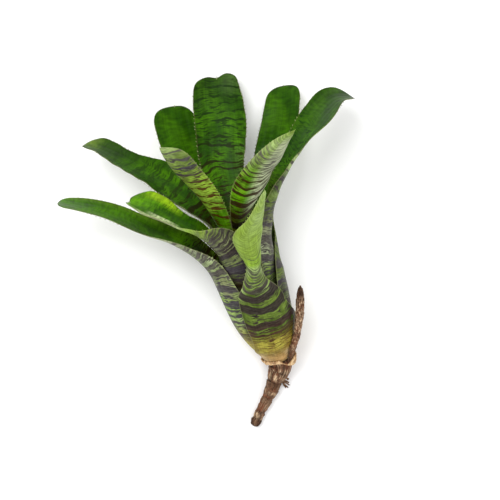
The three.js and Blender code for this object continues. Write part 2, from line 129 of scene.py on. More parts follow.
LEAVES = {
    "leaf_01": Leaf(4, 0.5, 56, Tip(5, 2.2), (
        (0.5, 100, 100), (8, 78, 98), (15, 52, 92), (22, 43, 78), (30, 41, 58), (38, 39, 43), (46, 36, 37),
        (53, 29, 25), (56, 21, 19),
    ), (
        (-13.4, 49.5, 56.2, 5.2, 5.2, 62, 62, 0), (-13.9, 54, 60, 5.7, 5.8, 62, 65, 0),
        (-15.9, 61.5, 68, 8.1, 8.6, 50, 55, 0), (-16.4, 68, 76, 8.6, 9.6, 38, 45, 3),
        (-14, 75, 82, 4.8, 8, 35, 45, 9), (-10.5, 83.5, 89, 3, 4.5, 35, 40, 18),
        (-8.5, 91.5, 96, 1.5, 1.5, 30, 30, 25),
    )),
    "leaf_02": Leaf(-82, 0.8, 56, Tip(7, 2.6), (
        (0.8, 95, 95), (8, 95, 95), (22, 88, 80), (36, 78, 68), (48, 68, 60), (56, 62, 54),
    ), (
        (-39.5, 50, 34, 19, 15, 65, 62, -2), (-50, 59.5, 34, 17, 12.5, 50, 45, -14),
        (-71, 70, 33, 13, 10.1, 25, 28, -28), (-90, 78.5, 33, 11.2, 9.9, 20, 20, -32),
        (-109, 84.3, 33, 10.2, 10.2, 15, 15, -26), (-121.5, 86, 32, 9, 10.2, 15, 15, -20),
    )),
    "leaf_03": Leaf(145, 2.5, 52, Tip(9, 2.6), (
        (2.5, 95, 95), (10, 95, 95), (22, 95, 85), (40, 98, 64), (47, 102, 52), (52, 98, 42),
    ), (
        (-6.5, 66, 14, 14.5, 10, 84, 40, 0), (-7, 80, 13.5, 6, 10, 40, 35, 0),
        (-6, 96.5, 13, 7.8, 10.6, 30, 30, 0), (-1, 119, 9.5, 11.2, 12.2, 22, 22, 0),
        (2, 139, 6.4, 12.4, 11, 18, 18, 0), (3, 152.9, 2.9, 11.5, 10, 15, 15, 0),
    )),
    "leaf_04": Leaf(-155, 4, 54, Tip(10, 2.5), (
        (4, 95, 95), (10, 95, 95), (22, 85, 85), (40, 64, 60), (54, 38, 38),
    ), (
        (-29.5, 70.5, 19, 9.5, 9.5, 35, 35, 0), (-39.5, 88.5, 16, 11, 11, 30, 30, 0),
        (-49.5, 108, 10.5, 13, 13.4, 22, 22, 0), (-55.5, 125, 5.6, 12.7, 14.2, 18, 18, 0),
        (-58.5, 141.5, 1.93, 9.8, 14.3, 15, 15, 0),
    )),
    "leaf_05": Leaf(-62, 6, 56, Tip(8, 2.8, 1.4, 0), (
        (6, 95, 95), (12, 95, 95), (24, 80, 80), (38, 66, 66), (56, 50, 56),
    ), (
        (-30.5, 54, 46.5, 11.5, 16.5, 55, 74, 0), (-37, 63, 51.5, 11, 19.5, 55, 88, -10),
        (-45, 69.5, 53, 9.5, 12.5, 45, 60, -37), (-55, 74, 53, 9.8, 10, 40, 45, -44),
        (-67, 80, 53, 13.8, 10.5, 35, 40, -46), (-76.5, 84, 53, 15.6, 9, 30, 35, -42),
        (-82.5, 87, 53, 10.5, 6.5, 30, 35, -38),
    )),
    "leaf_06": Leaf(85, 8, 54, Tip(9, 2.2), (
        (8, 95, 95), (14, 90, 90), (24, 80, 80), (40, 63, 58), (54, 58, 45),
    ), (
        (-3.8, 79.5, 34, 14, 10, 64, 45, 0), (0.6, 96.2, 36, 14.5, 11, 46, 45, 11),
        (10.2, 115.8, 36, 13.5, 12.5, 32, 40, 21), (22.4, 134.4, 34, 17.6, 14, 22, 22, 32),
        (32.7, 143.8, 31, 12.6, 14.5, 20, 20, 30), (41.5, 144, 29, 4.5, 10, 20, 20, 25),
    )),
    "leaf_07": Leaf(-112, 10, 54, Tip(8, 2.2), (
        (10, 95, 95), (16, 90, 90), (24, 80, 80), (40, 60, 60), (54, 38, 36),
    ), (
        (-36, 72, 28.6, 8, 7.8, 32, 36, 0), (-49, 84.5, 30, 10.5, 11, 35, 40, -10),
        (-65.5, 96, 30, 17.4, 10.6, 28, 28, -12), (-85, 108, 28, 11.4, 9, 25, 25, -8),
        (-100, 116, 26, 12.4, 7.5, 20, 20, -3), (-108.6, 118, 24, 10, 3.5, 20, 20, 0),
    )),
    "leaf_08": Leaf(175, 12, 56, Tip(8, 2.6, 2, -1.2), (
        (12, 95, 95), (18, 90, 90), (26, 80, 85), (40, 58, 66), (56, 40, 50),
    ), (
        (-24, 80, 26, 9.5, 9.5, 34, 38, 0), (-30, 105, 20, 12, 13, 30, 30, 0),
        (-32, 133, 13.5, 14.8, 15.1, 24, 24, 0), (-34, 147, 9, 13.6, 14, 22, 22, 0),
        (-34.7, 159, 6, 11.3, 12.5, 20, 20, 0),
    )),
    "leaf_09": Leaf(-50, 14, 54, Tip(10, 2.2), (
        (14, 95, 95), (20, 90, 90), (28, 80, 80), (40, 62, 58), (54, 48, 35),
    ), (
        (-31.5, 73.5, 50, 9, 6.6, 60, 50, 0), (-38.5, 87.5, 58, 10, 7.6, 50, 50, 10),
        (-48, 100, 66, 10, 7.6, 40, 40, 15), (-56.5, 109.5, 72, 9, 7, 35, 35, 15),
        (-63.5, 114.5, 76, 3, 3, 40, 40, 15),
    )),
    "leaf_10": Leaf(45, 17, 54, Tip(10, 2.2), (
        (17, 100, 100), (20, 95, 95), (28, 85, 88), (40, 60, 70), (54, 46, 55),
    ), (
        (-18, 79.5, 54, 9.6, 12, 60, 60, -8), (-14.5, 92.5, 62, 11.6, 13, 50, 50, -24),
        (-8.5, 105, 70, 8.2, 12.5, 45, 50, -32), (-1, 115, 76, 5, 8, 45, 50, -34),
        (7.5, 123.5, 82, 1.2, 1.2, 45, 45, -34),
    )),
}

# Woody parts, in mm from under the collar's middle. The core is (height on the axis, radius), the new
# runner (height, distance from the axis, azimuth, radius), a root (x, y, z, end x, y, z, radius), and
# the others (x, y, z, radius).
STEM_CORE = (
    (21.5, 1.2), (19, 2.8), (14, 3.0), (12, 3.2), (10, 3.3), (8, 3.4), (6, 3.55), (4, 3.95),
    (2.5, 4.5), (0.8, 5.15), (0.3, 6.1), (-1.5, 6.5), (-3, 6.5),
)
STEM_CROWN = ((0.3, -7, 5.7, 6.1), (-1.2, -10.4, 5.1, 5.2), (-2.2, -13, 4.4, 4.3))
ROOTS = (
    (0.4, -11.2, 5.2, 5.9, -14, 4.6, 0.6), (0.2, -11.8, 4.2, 5.4, -16.8, 3.4, 0.55),
    (0.6, -11.8, 6, 6.2, -15.4, 5.4, 0.5), (2, -9, 5, 5.6, -12.2, 4.4, 0.8),
    (0.4, -11.4, 2.8, 4.2, -17, 1.8, 0.5),
)
OLD_RUNNER = (
    (-2.4, -13.6, 4.25, 4.1), (-3.2, -16.2, 3.9, 3.9), (-4.4, -19.2, 3.5, 3.5),
    (-5.8, -22.2, 3.15, 3.15), (-7.4, -25.3, 2.95, 2.95), (-9.0, -28.4, 2.8, 2.8),
    (-10.7, -31.6, 2.65, 2.65), (-12.1, -34.8, 2.7, 2.7), (-13.1, -37.4, 2.7, 2.35),
)
NEW_RUNNER = (
    (-2.6, 7.7, 46, 1.1), (-0.8, 9.2, 45.5, 1.4), (3, 10.45, 45.7, 1.5), (6.6, 12.4, 47.6, 1.65),
    (10.7, 15.1, 50, 1.8), (18.6, 19, 55.4, 1.9), (26.6, 21.7, 61.8, 2.3), (34.1, 23.5, 69.5, 2.1),
    (37.6, 24.3, 73.5, 1.5), (39.4, 24.7, 76, 0.6),
)

# Free edges of the dry scales, in mm along each runner. The old runner's scales open towards the
# crown, so its distances count back from its far end.
OLD_RUNNER_EDGES = (-28.5, -23.2, -18.8, -10.6, -4.2, 0.5)
NEW_RUNNER_EDGES = (-1, 5.5, 13, 20.5, 27, 33.5, 41, 47)

# The collar, in mm, with its humps as (size, azimuth, width in degrees)
COLLAR_THICKNESS, COLLAR_FOOT, COLLAR_RIM, COLLAR_TATTER = 0.9, 0.4, 3, 0.12
COLLAR_RADIUS = 12
COLLAR_FIBRES = 0.9
BULGE, SAG, DROOP = (3.6, 46, 25), (4.6, 22, 17), (3.6, 40, 27)


def linear(code):
    """The linear red, green, blue and alpha of an sRGB hex colour."""
    values = np.array([int(code[i:i + 2], 16) for i in (1, 3, 5)]) / 255
    curved = ((values + 0.055) / 1.055) ** 2.4
    return (*np.where(values <= 0.04045, values / 12.92, curved).tolist(), 1.0)


def unit(vectors):
    return vectors / np.linalg.norm(vectors, axis=-1, keepdims=True)


def tank_axes():
    rise, turn = np.radians((AXIS_RISE, AXIS_TURN))
    axis = np.array((-np.sin(turn) * np.cos(rise), np.cos(turn) * np.cos(rise), np.sin(rise)))
    front = unit(np.array((0.0, 0.0, 1.0)) - axis * axis[2])
    return axis, front, np.cross(axis, front)


AXIS, FRONT, RIGHT = tank_axes()


def smooth(low, high, value):
    """From 0 at low to 1 at high, with level ends."""
    share = np.clip((value - low) / (high - low), 0, 1)
    return share * share * (3 - 2 * share)


def glide(knots, values, at):
    """A smooth curve through values at uneven knots, read at one place or many."""
    knots, values, at = (np.asarray(given, float) for given in (knots, values, at))
    widen = (slice(None),) + (None,) * (values.ndim - 1)
    gaps = np.diff(knots)[widen]
    rises = np.diff(values, axis=0) / gaps
    inner = (rises[:-1] * gaps[1:] + rises[1:] * gaps[:-1]) / (gaps[:-1] + gaps[1:])
    slopes = np.concatenate((rises[:1], inner, rises[-1:]))
    i = np.clip(np.searchsorted(knots, at, side="left") - 1, 0, len(knots) - 2)
    width = knots[i + 1] - knots[i]
    grow = (...,) + (None,) * (values.ndim - 1)
    u = ((at - knots[i]) / width)[grow]
    width = width[grow]
    return (
        values[i] * (2 * u**3 - 3 * u**2 + 1)
        + values[i + 1] * (3 * u**2 - 2 * u**3)
        + slopes[i] * width * (u**3 - 2 * u**2 + u)
        + slopes[i + 1] * width * (u**3 - u**2)
    )


def run_along(points):
    """The distance along a line of points, at each of them."""
    return np.concatenate(((0,), np.cumsum(np.linalg.norm(np.diff(points, axis=0), axis=1))))


def outward(azimuth):
    angle = np.radians(azimuth)
    return np.multiply.outer(np.cos(angle), FRONT) + np.multiply.outer(np.sin(angle), RIGHT)


def tank_point(height, azimuth, radius):
    """A point by its height on the tank's axis, its azimuth round it and its distance from it."""
    height, radius = np.asarray(height, float), np.asarray(radius, float)
    return (
        np.array((0.0, 0.0, COLLAR_HEIGHT))
        + np.multiply.outer(height, AXIS)
        + outward(azimuth) * radius[..., None]
    )


def spun(vector, axis, angle):
    return (
        vector * np.cos(angle)
        + np.cross(axis, vector) * np.sin(angle)
        + axis * (axis @ vector) * (1 - np.cos(angle))
    )


def carried_along(vector, before, after):
    """Turns a vector by the smallest turn that takes one direction to the next."""
    normal = np.cross(before, after)
    return (
        vector * (before @ after)
        + np.cross(normal, vector)
        + normal * (normal @ vector) / (1 + before @ after)
    )


def trace_leaf(leaf, layer):
    """The leaf's sections from foot to tip: midrib, the ways across and inward, widths, curvatures."""
    heights = [row[0] for row in leaf.sheath]
    wraps = np.radians([row[1:3] for row in leaf.sheath])

    def radius_at(height):
        return glide(TANK_HEIGHTS, TANK_RADII, height) - SHEATH_PITCH * layer

    steps = int(np.ceil((leaf.ends - leaf.starts) / TRACE_STEP))
    height = np.linspace(leaf.starts, leaf.ends, steps + 1)
    radius = radius_at(height)
    middle = list(tank_point(height, leaf.azimuth, radius))
    across = [outward(leaf.azimuth + 90)] * (steps + 1)
    inward = [-outward(leaf.azimuth)] * (steps + 1)
    widths = list(glide(heights, wraps, height) * radius[:, None])
    curves = list(np.repeat(1 / radius[:, None], 2, axis=1))

    joins = np.array((leaf.ends - BLADE_LEAD, leaf.ends))
    blade = np.array(leaf.blade, float)
    points = np.concatenate((tank_point(joins, leaf.azimuth, radius_at(joins)), blade[:, :3]))
    knots = run_along(points)
    knots = knots - knots[1]
    join_wraps = glide(heights, wraps, joins)
    half_widths = np.concatenate((join_wraps * radius_at(joins)[:, None], blade[:, 3:5]))
    cups = np.concatenate((join_wraps, np.radians(blade[:, 5:7])))
    twists = np.concatenate(((0, 0), np.radians(blade[:, 7])))
    length = knots[-1]

    def direction_at(at):
        ahead = glide(knots, points, min(at + DIRECTION_REACH, length))
        return unit(ahead - glide(knots, points, at - DIRECTION_REACH))

    direction = direction_at(0)
    carried = across[0]
    for at in np.linspace(0, length, int(np.ceil(length / TRACE_STEP)) + 1)[1:]:
        following = direction_at(at)
        carried = carried_along(carried, direction, following)
        direction = following
        flat = spun(carried, direction, float(glide(knots, twists, at)))
        free = smooth(0, BLEND_LENGTH, at)
        width = np.maximum(NARROWEST_HALF, glide(knots, half_widths, at))
        middle.append(glide(knots, points, at))
        across.append(flat)
        inward.append(unit(np.cross(direction, flat) * free + inward[0] * (1 - free)))
        widths.append(width)
        curves.append(glide(knots, cups, at) / width)

    sections = [np.array(rows) for rows in (middle, across, inward, widths, curves)]
    run = run_along(sections[0])
    return Trace(run, *sections, run[steps])


def leaf_surface(trace, distance, across):
    """Points of the middle surface, with their arc distances from the midrib and the half widths."""
    i = np.clip(np.searchsorted(trace.run, distance, side="left") - 1, 0, len(trace.run) - 2)
    t = (distance - trace.run[i]) / (trace.run[i + 1] - trace.run[i])
    side = (across >= 0).astype(int)
    half, curve = (
        values[i, side] * (1 - t) + values[i + 1, side] * t for values in (trace.widths, trace.curves)
    )
    curve = np.where(np.abs(curve) < FLATTEST_CURVE, FLATTEST_CURVE, curve)
    width = half * np.abs(across)
    t = t[..., None]
    middle, flat, cup = (
        values[i] * (1 - t) + values[i + 1] * t for values in (trace.middle, trace.across, trace.inward)
    )
    out = (np.sin(curve * width) / curve * np.sign(across))[..., None]
    rise = ((1 - np.cos(curve * width)) / curve)[..., None]
    return middle + unit(flat) * out + unit(cup) * rise, width * np.sign(across), half


def tip_ends(tip, length, across):
    """How far from the foot the leaf ends, at each place across it."""
    rounding = 1 - (1 - np.abs(across) ** tip.power) ** (1 / tip.power)
    notch = tip.notch * np.exp(-((across / NOTCH_WIDTH) ** 2))
    return length - tip.length * rounding - notch + tip.lean * across


def leaf_grid(leaf, trace, rows, across):
    """Distances from the foot, the last of them crowded so that they end on the tip's outline."""
    length = trace.run[-1]
    crowd_from = length - leaf.tip.length - TIP_TAPER
    squeeze = (tip_ends(leaf.tip, length, across) - crowd_from) / (length - crowd_from)
    rows = rows[:, None]
    return np.where(rows < crowd_from, rows, crowd_from + (rows - crowd_from) * squeeze)


def grid_normals(points):
    """The normals of a surface that is given as rows and columns of points."""
    return unit(np.cross(np.gradient(points, axis=0), np.gradient(points, axis=1)))


def plant_shift():
    """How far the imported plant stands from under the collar's middle, from one leaf's own sheet."""
    leaf = LEAVES[ANCHOR_LEAF]
    trace = trace_leaf(leaf, list(LEAVES).index(ANCHOR_LEAF))
    sheath = np.linspace(0, trace.sheath_length, CAD_SHEATH_ROWS + 1)
    blade = np.linspace(trace.sheath_length, trace.run[-1], CAD_BLADE_ROWS + 1)[1:]
    across = np.linspace(-1, 1, CAD_COLUMNS + 1)
    distance = leaf_grid(leaf, trace, np.concatenate((sheath, blade)), across)
    points, _, _ = leaf_surface(trace, distance, np.broadcast_to(across, distance.shape))
    offset = grid_normals(points) * SHEET_THICKNESS / 2
    lowest = np.minimum(points + offset, points - offset).min(axis=(0, 1))
    return np.array(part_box(ANCHOR_LEAF)[0]) / MM - lowest


def relief(along, across, seed, count, sizes, radius=None):
    """A smooth random height from -1 to 1 about, over two distances in mm, the same for a seed.

    Where a radius is given, across is the turn round a stem, on which the height meets itself."""
    draw = np.random.default_rng(seed)
    lengths = draw.uniform(*sizes, count)
    angles = draw.uniform(0, np.pi, count)
    total = 0
    for number, angle, phase in zip(2 * np.pi / lengths, angles, draw.uniform(0, 2 * np.pi, count)):
        aside = across if radius is None else radius * np.cos(across - phase)
        total = total + np.sin((along * np.cos(angle) + aside * np.sin(angle)) * number + phase)
    return total / np.sqrt(count)


def rounded(rim):
    """The share of its full thickness that a sheet has at a distance from its rim."""
    return np.sqrt(1 - (1 - np.clip(rim / RIM_ROUNDING, 0, 1)) ** 2)


def quads(index, closed=False):
    """Faces between the rows and columns of a grid of point numbers, closed round or open."""
    if closed:
        index = np.concatenate((index, index[:, :1]), axis=1)
    corners = (index[:-1, :-1], index[:-1, 1:], index[1:, 1:], index[1:, :-1])
    return np.stack(corners, axis=-1).reshape(-1, 4)


class Shape:
    """Points, faces and their notes for one piece, gathered until its mesh is made."""

    def __init__(self):
        self.points, self.faces, self.skins = [], [], []
        self.notes = {}
        self.count = 0

    def add(self, points, faces, skins, **notes):
        self.faces += [tuple(self.count + corner for corner in face) for face in faces]
        self.skins += np.broadcast_to(skins, len(faces)).tolist()
        self.points.append(points)
        for name, values in notes.items():
            self.notes.setdefault(name, []).append(values)
        self.count += len(points)
        return self

    def add_sheet(self, middle, offset, skins, closed=False, **notes):
        """Adds a sheet as an upper and a lower skin, which share the points of its rim."""
        inner = np.zeros(middle.shape[:2], bool)
        inner[1:-1, slice(None) if closed else slice(1, -1)] = True
        upper = np.arange(inner.size).reshape(inner.shape)
        lower = upper.copy()
        lower[inner] = inner.size + np.arange(inner.sum())
        faces = np.concatenate((quads(upper, closed)[:, ::-1], quads(lower, closed)))
        raised = (middle + offset * inner[..., None]).reshape(-1, 3)
        both = {
            name: np.concatenate((note.reshape(-1, *note.shape[2:]), note[inner]))
            for name, note in notes.items()
        }
        points = np.concatenate((raised, (middle - offset)[inner]))
        return self.add(points, faces.tolist(), np.repeat(skins, len(faces) // 2), **both)

    def add_tube(self, stations, radii, settings, relief_at, ends):
        """Adds a closed round stem through stations, with relief by turn and distance along it.

        ends are how far each end stands out, as a share of its radius."""
        stations, radii = np.asarray(stations, float), np.asarray(radii, float)
        knots = run_along(stations)
        length = knots[-1]
        at = np.linspace(0, length, max(int(length / (settings.row_step / MM)), 4) + 1)
        middle, radius = glide(knots, stations, at), glide(knots, radii, at)
        direction = unit(np.gradient(middle, axis=0))
        after = np.linspace(0, np.pi / 2, CAP_RINGS + 2)[1:-1]
        before = after[::-1]
        foot, head = radii[0] * ends[0] * np.sin(before), radii[-1] * ends[1] * np.sin(after)
        middle = np.concatenate((
            middle[0] - direction[0] * foot[:, None], middle, middle[-1] + direction[-1] * head[:, None],
        ))
        radius = np.concatenate((radii[0] * np.cos(before), radius, radii[-1] * np.cos(after)))
        direction = np.pad(direction, ((CAP_RINGS, CAP_RINGS), (0, 0)), "edge")
        at = np.concatenate((-foot, at, length + head))
        spokes = [unit(np.cross(direction[0], SPOKE_AIM))]
        for previous, following in zip(direction[:-1], direction[1:]):
            spokes.append(carried_along(spokes[-1], previous, following))
        turns = np.linspace(0, 2 * np.pi, settings.sides, endpoint=False)
        across, up = np.cos(turns), np.sin(turns)
        aside = np.cross(direction, spokes)
        ring = np.array(spokes)[:, None] * across[:, None] + aside[:, None] * up[:, None]
        height = relief_at(turns, at[:, None])
        grown = radius[:, None] + height * np.minimum(1, radius / radii.min())[:, None]
        poles = (
            stations[0] - direction[0] * radii[0] * ends[0],
            stations[-1] + direction[-1] * radii[-1] * ends[1],
        )
        index = np.arange(grown.size).reshape(grown.shape)
        following = np.roll(index, -1, axis=1)
        faces = quads(index, closed=True).tolist()
        faces += [(grown.size, second, first) for first, second in zip(index[0], following[0])]
        faces += [(grown.size + 1, first, second) for first, second in zip(index[-1], following[-1])]
        points = middle[:, None] + ring * grown[..., None]
        mean = radii.mean()
        place = np.stack(np.broadcast_arrays(across * mean, at[:, None], up * mean), axis=-1)
        return self.add(
            np.concatenate((points.reshape(-1, 3), poles)), faces, 0,
            stem_place=np.concatenate((place.reshape(-1, 3), ((0, at[0], 0), (0, at[-1], 0)))),
            stem_height=np.concatenate((height.ravel(), (0, 0))),
        )

    def build(self, node, materials, slot):
        """The piece that stands for a CAD node, in the node's place."""
        points = np.concatenate(self.points) + plant_shift()
        points[:, 2] = np.maximum(points[:, 2], 0)
        name = node + "_fine"
        mesh = bpy.data.meshes.new(name)
        mesh.from_pydata((points * MM).tolist(), [], self.faces)
        for material in materials:
            mesh.materials.append(material)
        mesh.polygons.foreach_set("material_index", self.skins)
        mesh.polygons.foreach_set("use_smooth", [True] * len(self.faces))
        for note, values in self.notes.items():
            values = np.concatenate(values)
            kind, field = ("FLOAT", "value") if values.ndim == 1 else ("FLOAT_VECTOR", "vector")
            mesh.attributes.new(note, kind, "POINT").data.foreach_set(field, values.ravel())
        mesh.update()
        piece = bpy.data.objects.new(name, mesh)
        bpy.context.scene.collection.objects.link(piece)
        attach(piece, BODY)
        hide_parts(node)


def leaf_shape(name, settings):
    """A leaf as one closed sheet: two skins that meet along a thin rounded rim, with its prickles."""
    layer = list(LEAVES).index(name)
    leaf = LEAVES[name]
    trace = trace_leaf(leaf, layer)
    length = trace.run[-1]
    rows = np.linspace(0, length, int(length / (settings.row_step / MM)) + 1)
    across = np.sin(np.linspace(-np.pi / 2, np.pi / 2, settings.columns + 1))
    distance = leaf_grid(leaf, trace, rows, across)
    shares = np.broadcast_to(across, distance.shape)
    middle, arc, half = leaf_surface(trace, distance, shares)
    normals = grid_normals(middle)
    end = tip_ends(leaf.tip, length, across)
    rim = np.minimum.reduce((half - np.abs(arc), end - distance, distance))
    free = smooth(trace.sheath_length + RIPPLES_START, trace.sheath_length + RIPPLES_FULL, distance)
    ripple = relief(distance, arc, seed=layer, count=5, sizes=(13, 34))
    lift = settings.ripple / MM * ripple * (SHEATH_RIPPLES + (1 - SHEATH_RIPPLES) * free)
    wave = relief(distance, 0 * arc, seed=40 + layer, count=4, sizes=(7, 19))
    lift = lift + settings.margin_wave / MM * free * wave * shares**6
    rib = settings.rib_depth / MM * np.sin(arc * 2 * np.pi / (settings.rib_spacing / MM)) * smooth(1, 3, rim)
    lift = lift + rib * (SHEATH_RIBS + (1 - SHEATH_RIBS) * free)
    thin = RIM_THICKNESS + (1 - RIM_THICKNESS) * smooth(0, RIM_THINNING, rim)
    shape = Shape().add_sheet(
        middle + normals * lift[..., None],
        normals * (settings.thickness / MM / 2 * rounded(rim) * thin)[..., None], (TOP, UNDER),
        leaf_place=np.stack((arc, distance, np.maximum(rim, 0)), axis=-1), leaf_side=shares,
    )
    add_prickles(shape, leaf, trace, layer, settings)
    return shape


def add_spike(shape, root, out, forward, normal, sizes, place, side, lean=SPIKE_LEAN):
    """A small four-sided spike with its base sunk in the margin: sizes are length, base and depth."""
    length, base, depth = sizes
    sunk = root - out * base * SPIKE_SUNK
    corners = [sunk + forward * base * a + normal * depth * b for a, b in ((-1, 0), (0, 1), (1, 0), (0, -1))]
    tip = root + out * length * SPIKE_OUT + forward * length * lean
    faces = [(0, 1, 4), (1, 2, 4), (2, 3, 4), (3, 0, 4), (3, 2, 1, 0)]
    place, side = np.tile(place, (5, 1)), np.full(5, side)
    shape.add(np.array([*corners, tip]), faces, UNDER, leaf_place=place, leaf_side=side)


def add_prickles(shape, leaf, trace, layer, settings):
    """Small prickles along both margins of the blade, and the short point at the tip."""
    draw = np.random.default_rng(100 + layer)
    length = trace.run[-1]
    for side in (-1, 1):
        end = tip_ends(leaf.tip, length, np.array(side * MARGIN)).item()
        at = trace.sheath_length + PRICKLES_START
        while at < end - PRICKLES_STOP:
            distances = np.array((at, min(at + PRICKLE_STEP, length), at))
            points, _, half = leaf_surface(trace, distances, np.array((side, side, side * INSIDE)))
            out, forward = unit(points[0] - points[2]), unit(points[1] - points[0])
            size = settings.prickle_length / MM * draw.uniform(0.7, 1.2)
            add_spike(
                shape, points[0], out, forward, np.cross(forward, out), (size, size * 0.55, 0.16),
                (side * half[0], at, 0), side,
            )
            at += settings.prickle_spacing / MM * draw.uniform(0.75, 1.3)
    end = tip_ends(leaf.tip, length, np.array(0.0)).item()
    points, _, _ = leaf_surface(trace, np.array((end - 0.5, end - 1, end - 0.5)), np.array((0, 0, 0.05)))
    out, aside = unit(points[0] - points[1]), unit(points[2] - points[0])
    sizes = (settings.point_length / MM, 0.8, 0.3)
    add_spike(shape, points[0], out, aside * 0.6, np.cross(out, aside), sizes, (0, end, 0), 0, lean=0)


def fibres(turn, along, counts):
    """The relief of fibres that run along a stem and come and go, from -1 to 1 about."""
    total = 0
    for k, count in enumerate(counts):
        fade = 0.6 + 0.4 * np.sin(along / (1.9 + 0.4 * k) + 2 * k)
        total = total + fade * np.sin(count * turn + 1.7 * k + 0.8 * np.sin(along / 4.1 + k))
    return total / np.sqrt(len(counts))


def bracts(turn, along, edges, depth, seed):
    """The relief of overlapping dry scales, each standing out towards its free edge and then falling."""
    wander = 0.55 * np.sin(turn + seed) + 0.3 * np.sin(3 * turn + 2 * seed) + 0.12 * np.sin(7 * turn + seed)
    height = np.zeros(np.broadcast(turn, along).shape)
    for k, (start, end) in enumerate(zip(edges[:-1], edges[1:])):
        own_start = start + wander * np.cos(k * 2.1)
        own_end = end + wander * np.cos((k + 1) * 2.1)
        share = (along - own_start) / (own_end - own_start)
        height = height + np.where((share >= 0) & (share < 1), depth * share**1.6, 0)
    return height


def stem_shape(settings):
    """The core and the crown with its leaf scars, and the broken roots that bend from it."""
    stations = [tank_point(height, 0, 0) for height, _ in STEM_CORE] + [row[:3] for row in STEM_CROWN]
    radii = [row[-1] for row in STEM_CORE + STEM_CROWN]
    depth = settings.relief / MM

    def crown_relief(turn, along):
        scars = np.abs(np.sin(along * np.pi / (settings.ring_spacing / MM) + 0.7 * np.sin(2 * turn)))
        lumps = relief(along, turn, seed=7, count=9, sizes=(2, 7), radius=6)
        return depth * (0.3 * scars - 0.3 + 0.45 * lumps + 0.3 * fibres(turn, along, (9, 14, 23, 31)))

    shape = Shape().add_tube(stations, radii, settings, crown_relief, (0.35, 0.03))
    share = np.linspace(0, 1, 5)[:, None]
    for k, row in enumerate(ROOTS):
        bend = np.array((0, 0, 0.5)) * np.sin(share * np.pi) * (1 if k % 2 else -1)
        points = np.array(row[:3]) * (1 - share) + np.array(row[3:6]) * share + bend

        def root_relief(turn, along):
            return 0.09 * relief(along, turn, seed=20 + k, count=5, sizes=(0.8, 2.4), radius=0.8)

        shape.add_tube(points, row[6] * (1 - 0.3 * share[:, 0]), settings, root_relief, (0.35, 0.2))
    return shape


def old_runner_shape(settings):
    """The old runner, whose dry scales open towards the crown."""
    rows = np.array(OLD_RUNNER)

    def scales(turn, along):
        outer = bracts(turn, -along, OLD_RUNNER_EDGES, settings.relief / MM, 1.7)
        lumps = 0.13 * relief(along, turn, seed=31, count=8, sizes=(2, 7), radius=3)
        return outer + lumps + 0.11 * fibres(turn, along, (7, 11, 17, 26))

    return Shape().add_tube(rows[:, :3], rows[:, 3], settings, scales, (0.03, 0.55))


def new_runner_shape(settings):
    """The new runner beside the tank, whose dry scales open towards its point."""
    stations = [tank_point(height, azimuth, distance) for height, distance, azimuth, _ in NEW_RUNNER]

    def scales(turn, along):
        outer = bracts(turn, along, NEW_RUNNER_EDGES, settings.relief * 0.8 / MM, 0.6)
        lumps = 0.07 * relief(along, turn, seed=53, count=7, sizes=(1.5, 5), radius=2)
        return outer + lumps + 0.06 * fibres(turn, along, (5, 8, 13))

    return Shape().add_tube(stations, [row[3] for row in NEW_RUNNER], settings, scales, (0.35, 1.5))


def hump(azimuth, size, at, width):
    """A smooth rise round one azimuth, in degrees."""
    away = (azimuth - at + 180) % 360 - 180
    return size * np.exp(-((away / width) ** 2))


def collar_shape(settings):
    """The papery collar as one closed wrapped sheet with a torn rim."""
    azimuth = -np.linspace(0, 360, settings.columns, endpoint=False)
    turn = np.radians(azimuth)
    around = turn * COLLAR_RADIUS
    tatter = COLLAR_TATTER * (np.sin(5 * turn) + np.sin(9 * turn + np.radians(40)))
    fray = settings.fray / MM * relief(around, 0 * turn, seed=77, count=9, sizes=(0.9, 3.5))
    rim = COLLAR_RIM - hump(azimuth, *SAG) + tatter + fray
    foot = COLLAR_FOOT - hump(azimuth, *DROOP)
    share = np.linspace(0, 1, settings.rows + 1)[:, None]
    height = foot * (1 - share) + rim * share
    edge = np.minimum(share, 1 - share) * (rim - foot)
    around = around + 0 * height
    crumple = settings.crumple / MM * relief(height, around, seed=78, count=9, sizes=(1.6, 6))
    ridges = settings.fibre_depth / MM * np.sin(around * 2 * np.pi / COLLAR_FIBRES + 1.5 * np.sin(around))
    clear = (SHEET_THICKNESS + COLLAR_THICKNESS) / 2 + SEAT_GAP
    radius = glide(TANK_HEIGHTS, TANK_RADII, height) + clear + hump(azimuth, *BULGE) + crumple
    grid = tank_point(height, azimuth, radius)
    normals = grid_normals(np.concatenate((grid[:, -1:], grid, grid[:, :1]), axis=1))[:, 1:-1]
    return Shape().add_sheet(
        grid + normals * (ridges * smooth(0, 1.5, edge))[..., None],
        normals * (COLLAR_THICKNESS / 2 * rounded(edge))[..., None], (0, 0), closed=True,
        husk_place=np.stack((around, height, edge), axis=-1),
    )


# Nodes that are used with the same settings throughout, by what they do
KINDS = {
    "sum": ("Math", {"operation": "ADD"}),
    "product": ("Math", {"operation": "MULTIPLY"}),
    "product_sum": ("Math", {"operation": "MULTIPLY_ADD"}),
    "quotient": ("Math", {"operation": "DIVIDE"}),
    "step": ("MapRange", {"interpolation_type": "SMOOTHSTEP"}),
    "mix": ("Mix", {"data_type": "RGBA"}),
    "shade": ("Mix", {"data_type": "RGBA", "blend_type": "MULTIPLY"}),
}


